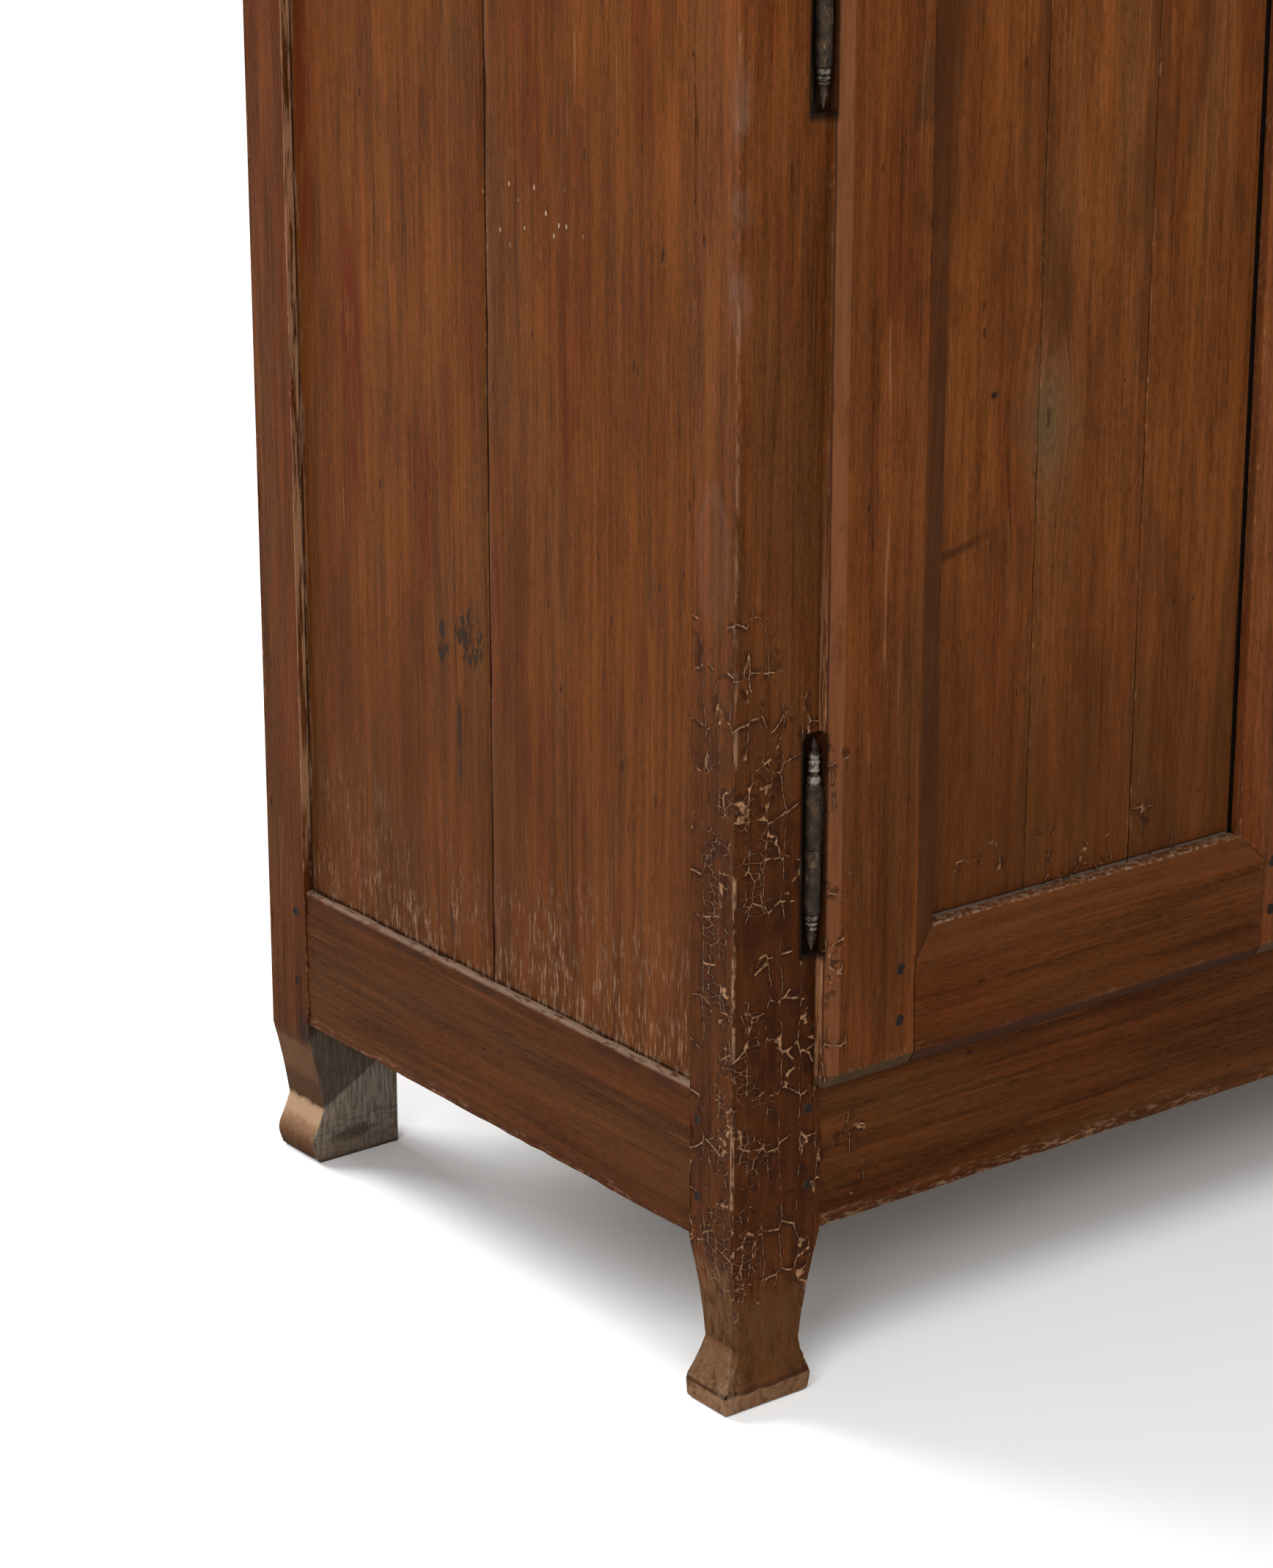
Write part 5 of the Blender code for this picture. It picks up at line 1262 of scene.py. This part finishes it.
half_joint = 0.00015
bore_radius = 0.0033
pin_radius = 0.0030
pin_height = 0.030
upper_profile = [(tiny, pin_height + 0.0003), (bore_radius, pin_height + 0.0003), (bore_radius, half_joint),
                 (knuckle_radius - 0.0003, half_joint)]
upper_profile += barrel_rings(half_joint + 0.0004, barrel)
upper_profile += [(radius * in_mm, barrel + rise * in_mm) for radius, rise in UPPER_FINIAL]
upper_profile += [(tiny, barrel + 0.0352)]
lower_profile = [(tiny, pin_height), (pin_radius - 0.0005, pin_height), (pin_radius, pin_height - 0.0006),
                 (pin_radius, -half_joint), (knuckle_radius - 0.0003, -half_joint)]
lower_profile += barrel_rings(-half_joint - 0.0004, -barrel)
lower_profile += [(radius * in_mm, -barrel - fall * in_mm) for radius, fall in LOWER_FINIAL]
lower_profile += [(tiny, -barrel - 0.0292)]


# %% [markdown]
# Each half has a flat leaf let into the wood, into the door for the upper half and into the post for
# the lower one. The turned body is hammered a little out of round before the leaf is joined to it.

# %% Hinge leaves
def block(name, low, high, bevel):
    """A cube set between two corners, with its edges bevelled."""
    deselect()
    middle = [(a + b) / 2 for a, b in zip(low, high)]
    bpy.ops.mesh.primitive_cube_add(size=1, location=middle, scale=[abs(b - a) for a, b in zip(low, high)])
    piece = bpy.context.object
    piece.name = name
    bpy.ops.object.transform_apply(location=True, scale=True)
    bpy.ops.object.mode_set(mode="EDIT")
    bpy.ops.mesh.select_all(action="SELECT")
    bpy.ops.mesh.bevel(offset=bevel, segments=2, affect="EDGES")
    bpy.ops.object.mode_set(mode="OBJECT")
    return piece


def joined(first, *others):
    """Join pieces into the first one."""
    select_only(first)
    for other in others:
        other.select_set(True)
    bpy.ops.object.join()
    return first


leaf_inset = 0.004
half_leaf = 0.001
leaf_start = 0.0046
door_leaf_end = upper_box[1].x + hinge_out
post_leaf_end = lower_box[1].y - hinge_axis_y


def hinge_half(name, half, side):
    """One half of a hinge round the origin, with the leaf that is let into the wood."""
    if half == "upper":
        body = turned(name, upper_profile)
        leaf = block(name + "_leaf", (-side * leaf_start, -half_leaf, leaf_inset),
                     (-side * door_leaf_end, half_leaf, barrel - leaf_inset), 0.0003)
    else:
        body = turned(name, lower_profile)
        leaf = block(name + "_leaf", (-half_leaf, leaf_start, -barrel + leaf_inset),
                     (half_leaf, post_leaf_end, -leaf_inset), 0.0003)
    for vertex in body.data.vertices:
        radius = math.hypot(vertex.co.x, vertex.co.y)
        hammered = 0.00022 * noise.noise(Vector((vertex.co.x * 160, vertex.co.y * 160, vertex.co.z * 90)))
        if radius > bore_radius + 0.0002:
            vertex.co.x *= 1 + (hammered - 0.00016) / radius
            vertex.co.y *= 1 + (hammered - 0.00016) / radius
    joined(body, leaf)
    # The edge attribute sets where the iron shows pale bare metal, partly a painted highlight: more on wide
    # rings and on the finials.
    rub = []
    for vertex in body.data.vertices:
        radius = math.hypot(vertex.co.x, vertex.co.y)
        beyond = max(0.0, abs(vertex.co.z) - barrel)
        rub.append(min(1.0, radius / 0.0046) * (0.55 + 0.45 * min(1.0, beyond / 0.002)) if beyond else 0.42)
    write_attribute(body, "edge", rub)
    body.data.materials.append(hinge_iron)
    select_only(body)
    bpy.ops.object.shade_smooth_by_angle(angle=math.radians(50))
    return body


# %% [markdown]
# All hinges of a side and half are alike, so each pattern is made once and copied to its three heights.

# %% Hinges in place
SIDES = {"left": -1, "right": 1}
for side, sign in SIDES.items():
    for half in ("upper", "lower"):
        pattern = hinge_half(f"{side}_{half}_hinge_pattern", half, sign)
        for label, height in hinge_heights.items():
            node = f"{side}_{label}_hinge_{half}_knuckle"
            copy = bpy.data.objects.new(f"turned_{node}", pattern.data.copy())
            bpy.context.scene.collection.objects.link(copy)
            for vertex in copy.data.vertices:
                vertex.co += Vector((sign * hinge_out, hinge_axis_y, height - half_joint))
            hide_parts(node)
            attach(copy, body_of[node])
        bpy.data.objects.remove(pattern)
print("hinges turned:", len(SIDES) * 2 * len(hinge_heights))

# %% [markdown]
# ## Pegs
# Every joint is held by oak pegs. Their ends have darkened, and wax has built up in a pale ring round
# each. A peg is a ring extruded into a low lip and a shallow face, turned to the surface it sits in.
# Each is made a little oval and a little off true, and those in the doors are nearly square.

# %% Pegs
oak = Finish("peg_oak", specular=0.08)
oak_grain = oak.noise(oak.object_place, 900.0, 4, 0.7)
ring_share = oak.rise(oak.attribute("edge"), 0.35, 0.75)
oak_colour = oak.ramp(oak_grain, [(0.35, (0.008, 0.005, 0.004)), (0.65, (0.026, 0.015, 0.009))])
oak_colour = oak.mix(oak.times(ring_share, oak.rise(oak_grain, 0.38, 0.60), 0.6), oak_colour,
                     (0.15, 0.085, 0.048))
peg_oak = oak.finish(oak_colour, 0.7, oak_grain, 0.0006)

peg_lip_radius = 0.0041
peg_profile = [(0.0044, -0.0012), (0.0044, 0.0001), (0.0042, 0.00034), (0.0039, 0.00034), (0.0037, 0.00012),
               (0.0034, 0.00005), (tiny, 0.00010)]


def pegs(name, body, places, squareness=0.0):
    """Pegs at places, each given with the direction in which its end faces. Square ones have more corner."""
    made = []
    for place, facing in places:
        peg = turned("peg", peg_profile, 14)
        turn = Vector(facing).to_track_quat("Z", "Y").to_matrix()
        oval = random.uniform(0.74, 0.92)
        twist = random.uniform(-0.5, 0.5)
        rub = [1.0 if math.hypot(vertex.co.x,
                                 vertex.co.y) > peg_lip_radius else 0.0 for vertex in peg.data.vertices]
        write_attribute(peg, "edge", rub)
        for vertex in peg.data.vertices:
            reach = math.hypot(vertex.co.x, vertex.co.y)
            corner = (reach / max(abs(vertex.co.x), abs(vertex.co.y), tiny)) ** squareness
            x = vertex.co.x * oval * corner
            y = vertex.co.y * corner
            flat = Vector((x * math.cos(twist) - y * math.sin(twist),
                           x * math.sin(twist) + y * math.cos(twist), vertex.co.z))
            vertex.co = turn @ flat + Vector(place)
        made.append(peg)
    group = joined(*made)
    group.name = name
    group.data.materials.append(peg_oak)
    bpy.ops.object.shade_smooth_by_angle(angle=math.radians(40))
    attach(group, body)
    return group


ahead = (0, -1, 0)
carcass_pegs = []
for sign in SIDES.values():
    aside = (sign, 0, 0)
    for low_height in (0.2246, 0.1642):
        for height in (low_height, post_top - 0.021 - (low_height - 0.1642) * 0.9):
            carcass_pegs.append(((sign * (side_plane - 0.0703), front, height), ahead))
            carcass_pegs.append(((sign * side_plane, front + 0.0400, height - 0.004), aside))
            carcass_pegs.append(((sign * side_plane, front + 0.5723, height - 0.002), aside))
    for height in (rail_top - 0.016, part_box("front_top_rail")[0].z + 0.016):
        carcass_pegs.append(((sign * 0.016, front + 0.0012, height), ahead))
pegs("carcass_pegs", body_of["centre_post"], carcass_pegs)
door_middle = (door_stile_low.z + door_stile_high.z) / 2
for side, sign in SIDES.items():
    door_pegs = []
    for below in (0.319, 0.2788):
        for height in (below, 2 * door_middle - below):
            for out in (0.4853, 0.1035):
                door_pegs.append(((sign * out, door_stile_low.y, height), ahead))
    pegs(f"{side}_door_pegs", f"{side}_door", door_pegs, squareness=0.8)

# %% [markdown]
# ## Lock, key and escutcheon
# These come from the frame's shapes with a small bevel, because forged plate never has a razor edge.
# Round nail heads hold the escutcheon and the lock case.

# %% Ironwork
def iron_copy(node, material, bevel=0.0004):
    piece = clean_copy(node, "forged_" + node)
    found = sharp_edges(piece.data)
    bevel_edges(piece, bevel, lambda start, end: (end - start).length > 0.0015)
    lines = [(start, end) for index, start, end, out in found if out]
    points = np.array([vertex.co for vertex in piece.data.vertices])
    write_attribute(piece, "edge", np.clip(1 - distance_to_lines(points, lines) / 0.003, 0, 1))
    return settle(piece, node, material)


iron_copy("escutcheon", lock_iron)
iron_copy("lock_case", lock_iron)
iron_copy("lock_bolt", key_iron)
iron_copy("key", key_iron, 0.0003)

nail_profile = [(0.0021, -0.0010), (0.0021, 0.0001), (0.0019, 0.0006), (0.0013, 0.0010), (tiny, 0.0012)]


def nails(name, body, places):
    made = []
    for place, facing in places:
        nail = turned("nail", nail_profile, 12)
        turn = Vector(facing).to_track_quat("Z", "Y").to_matrix()
        write_attribute(nail, "edge", [0.7] * len(nail.data.vertices))
        for vertex in nail.data.vertices:
            vertex.co = turn @ vertex.co + Vector(place)
        made.append(nail)
    group = joined(*made)
    group.name = name
    group.data.materials.append(lock_iron)
    bpy.ops.object.shade_smooth_by_angle(angle=math.radians(40))
    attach(group, body)
    return group


plate_low, plate_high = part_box("escutcheon")
case_low, case_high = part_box("lock_case")
plate_middle = (plate_low.x + plate_high.x) / 2
nails("escutcheon_nails", "right_door", [((plate_middle, plate_low.y, height), ahead)
                                         for height in (plate_low.z + 0.0042, plate_high.z - 0.0042)])
nail_inset = 0.007
nails("lock_case_nails", "right_door", [((x, case_high.y, z), (0, 1, 0))
                                        for x in (case_low.x + nail_inset, case_high.x - nail_inset)
                                        for z in (case_low.z + nail_inset, case_high.z - nail_inset)])
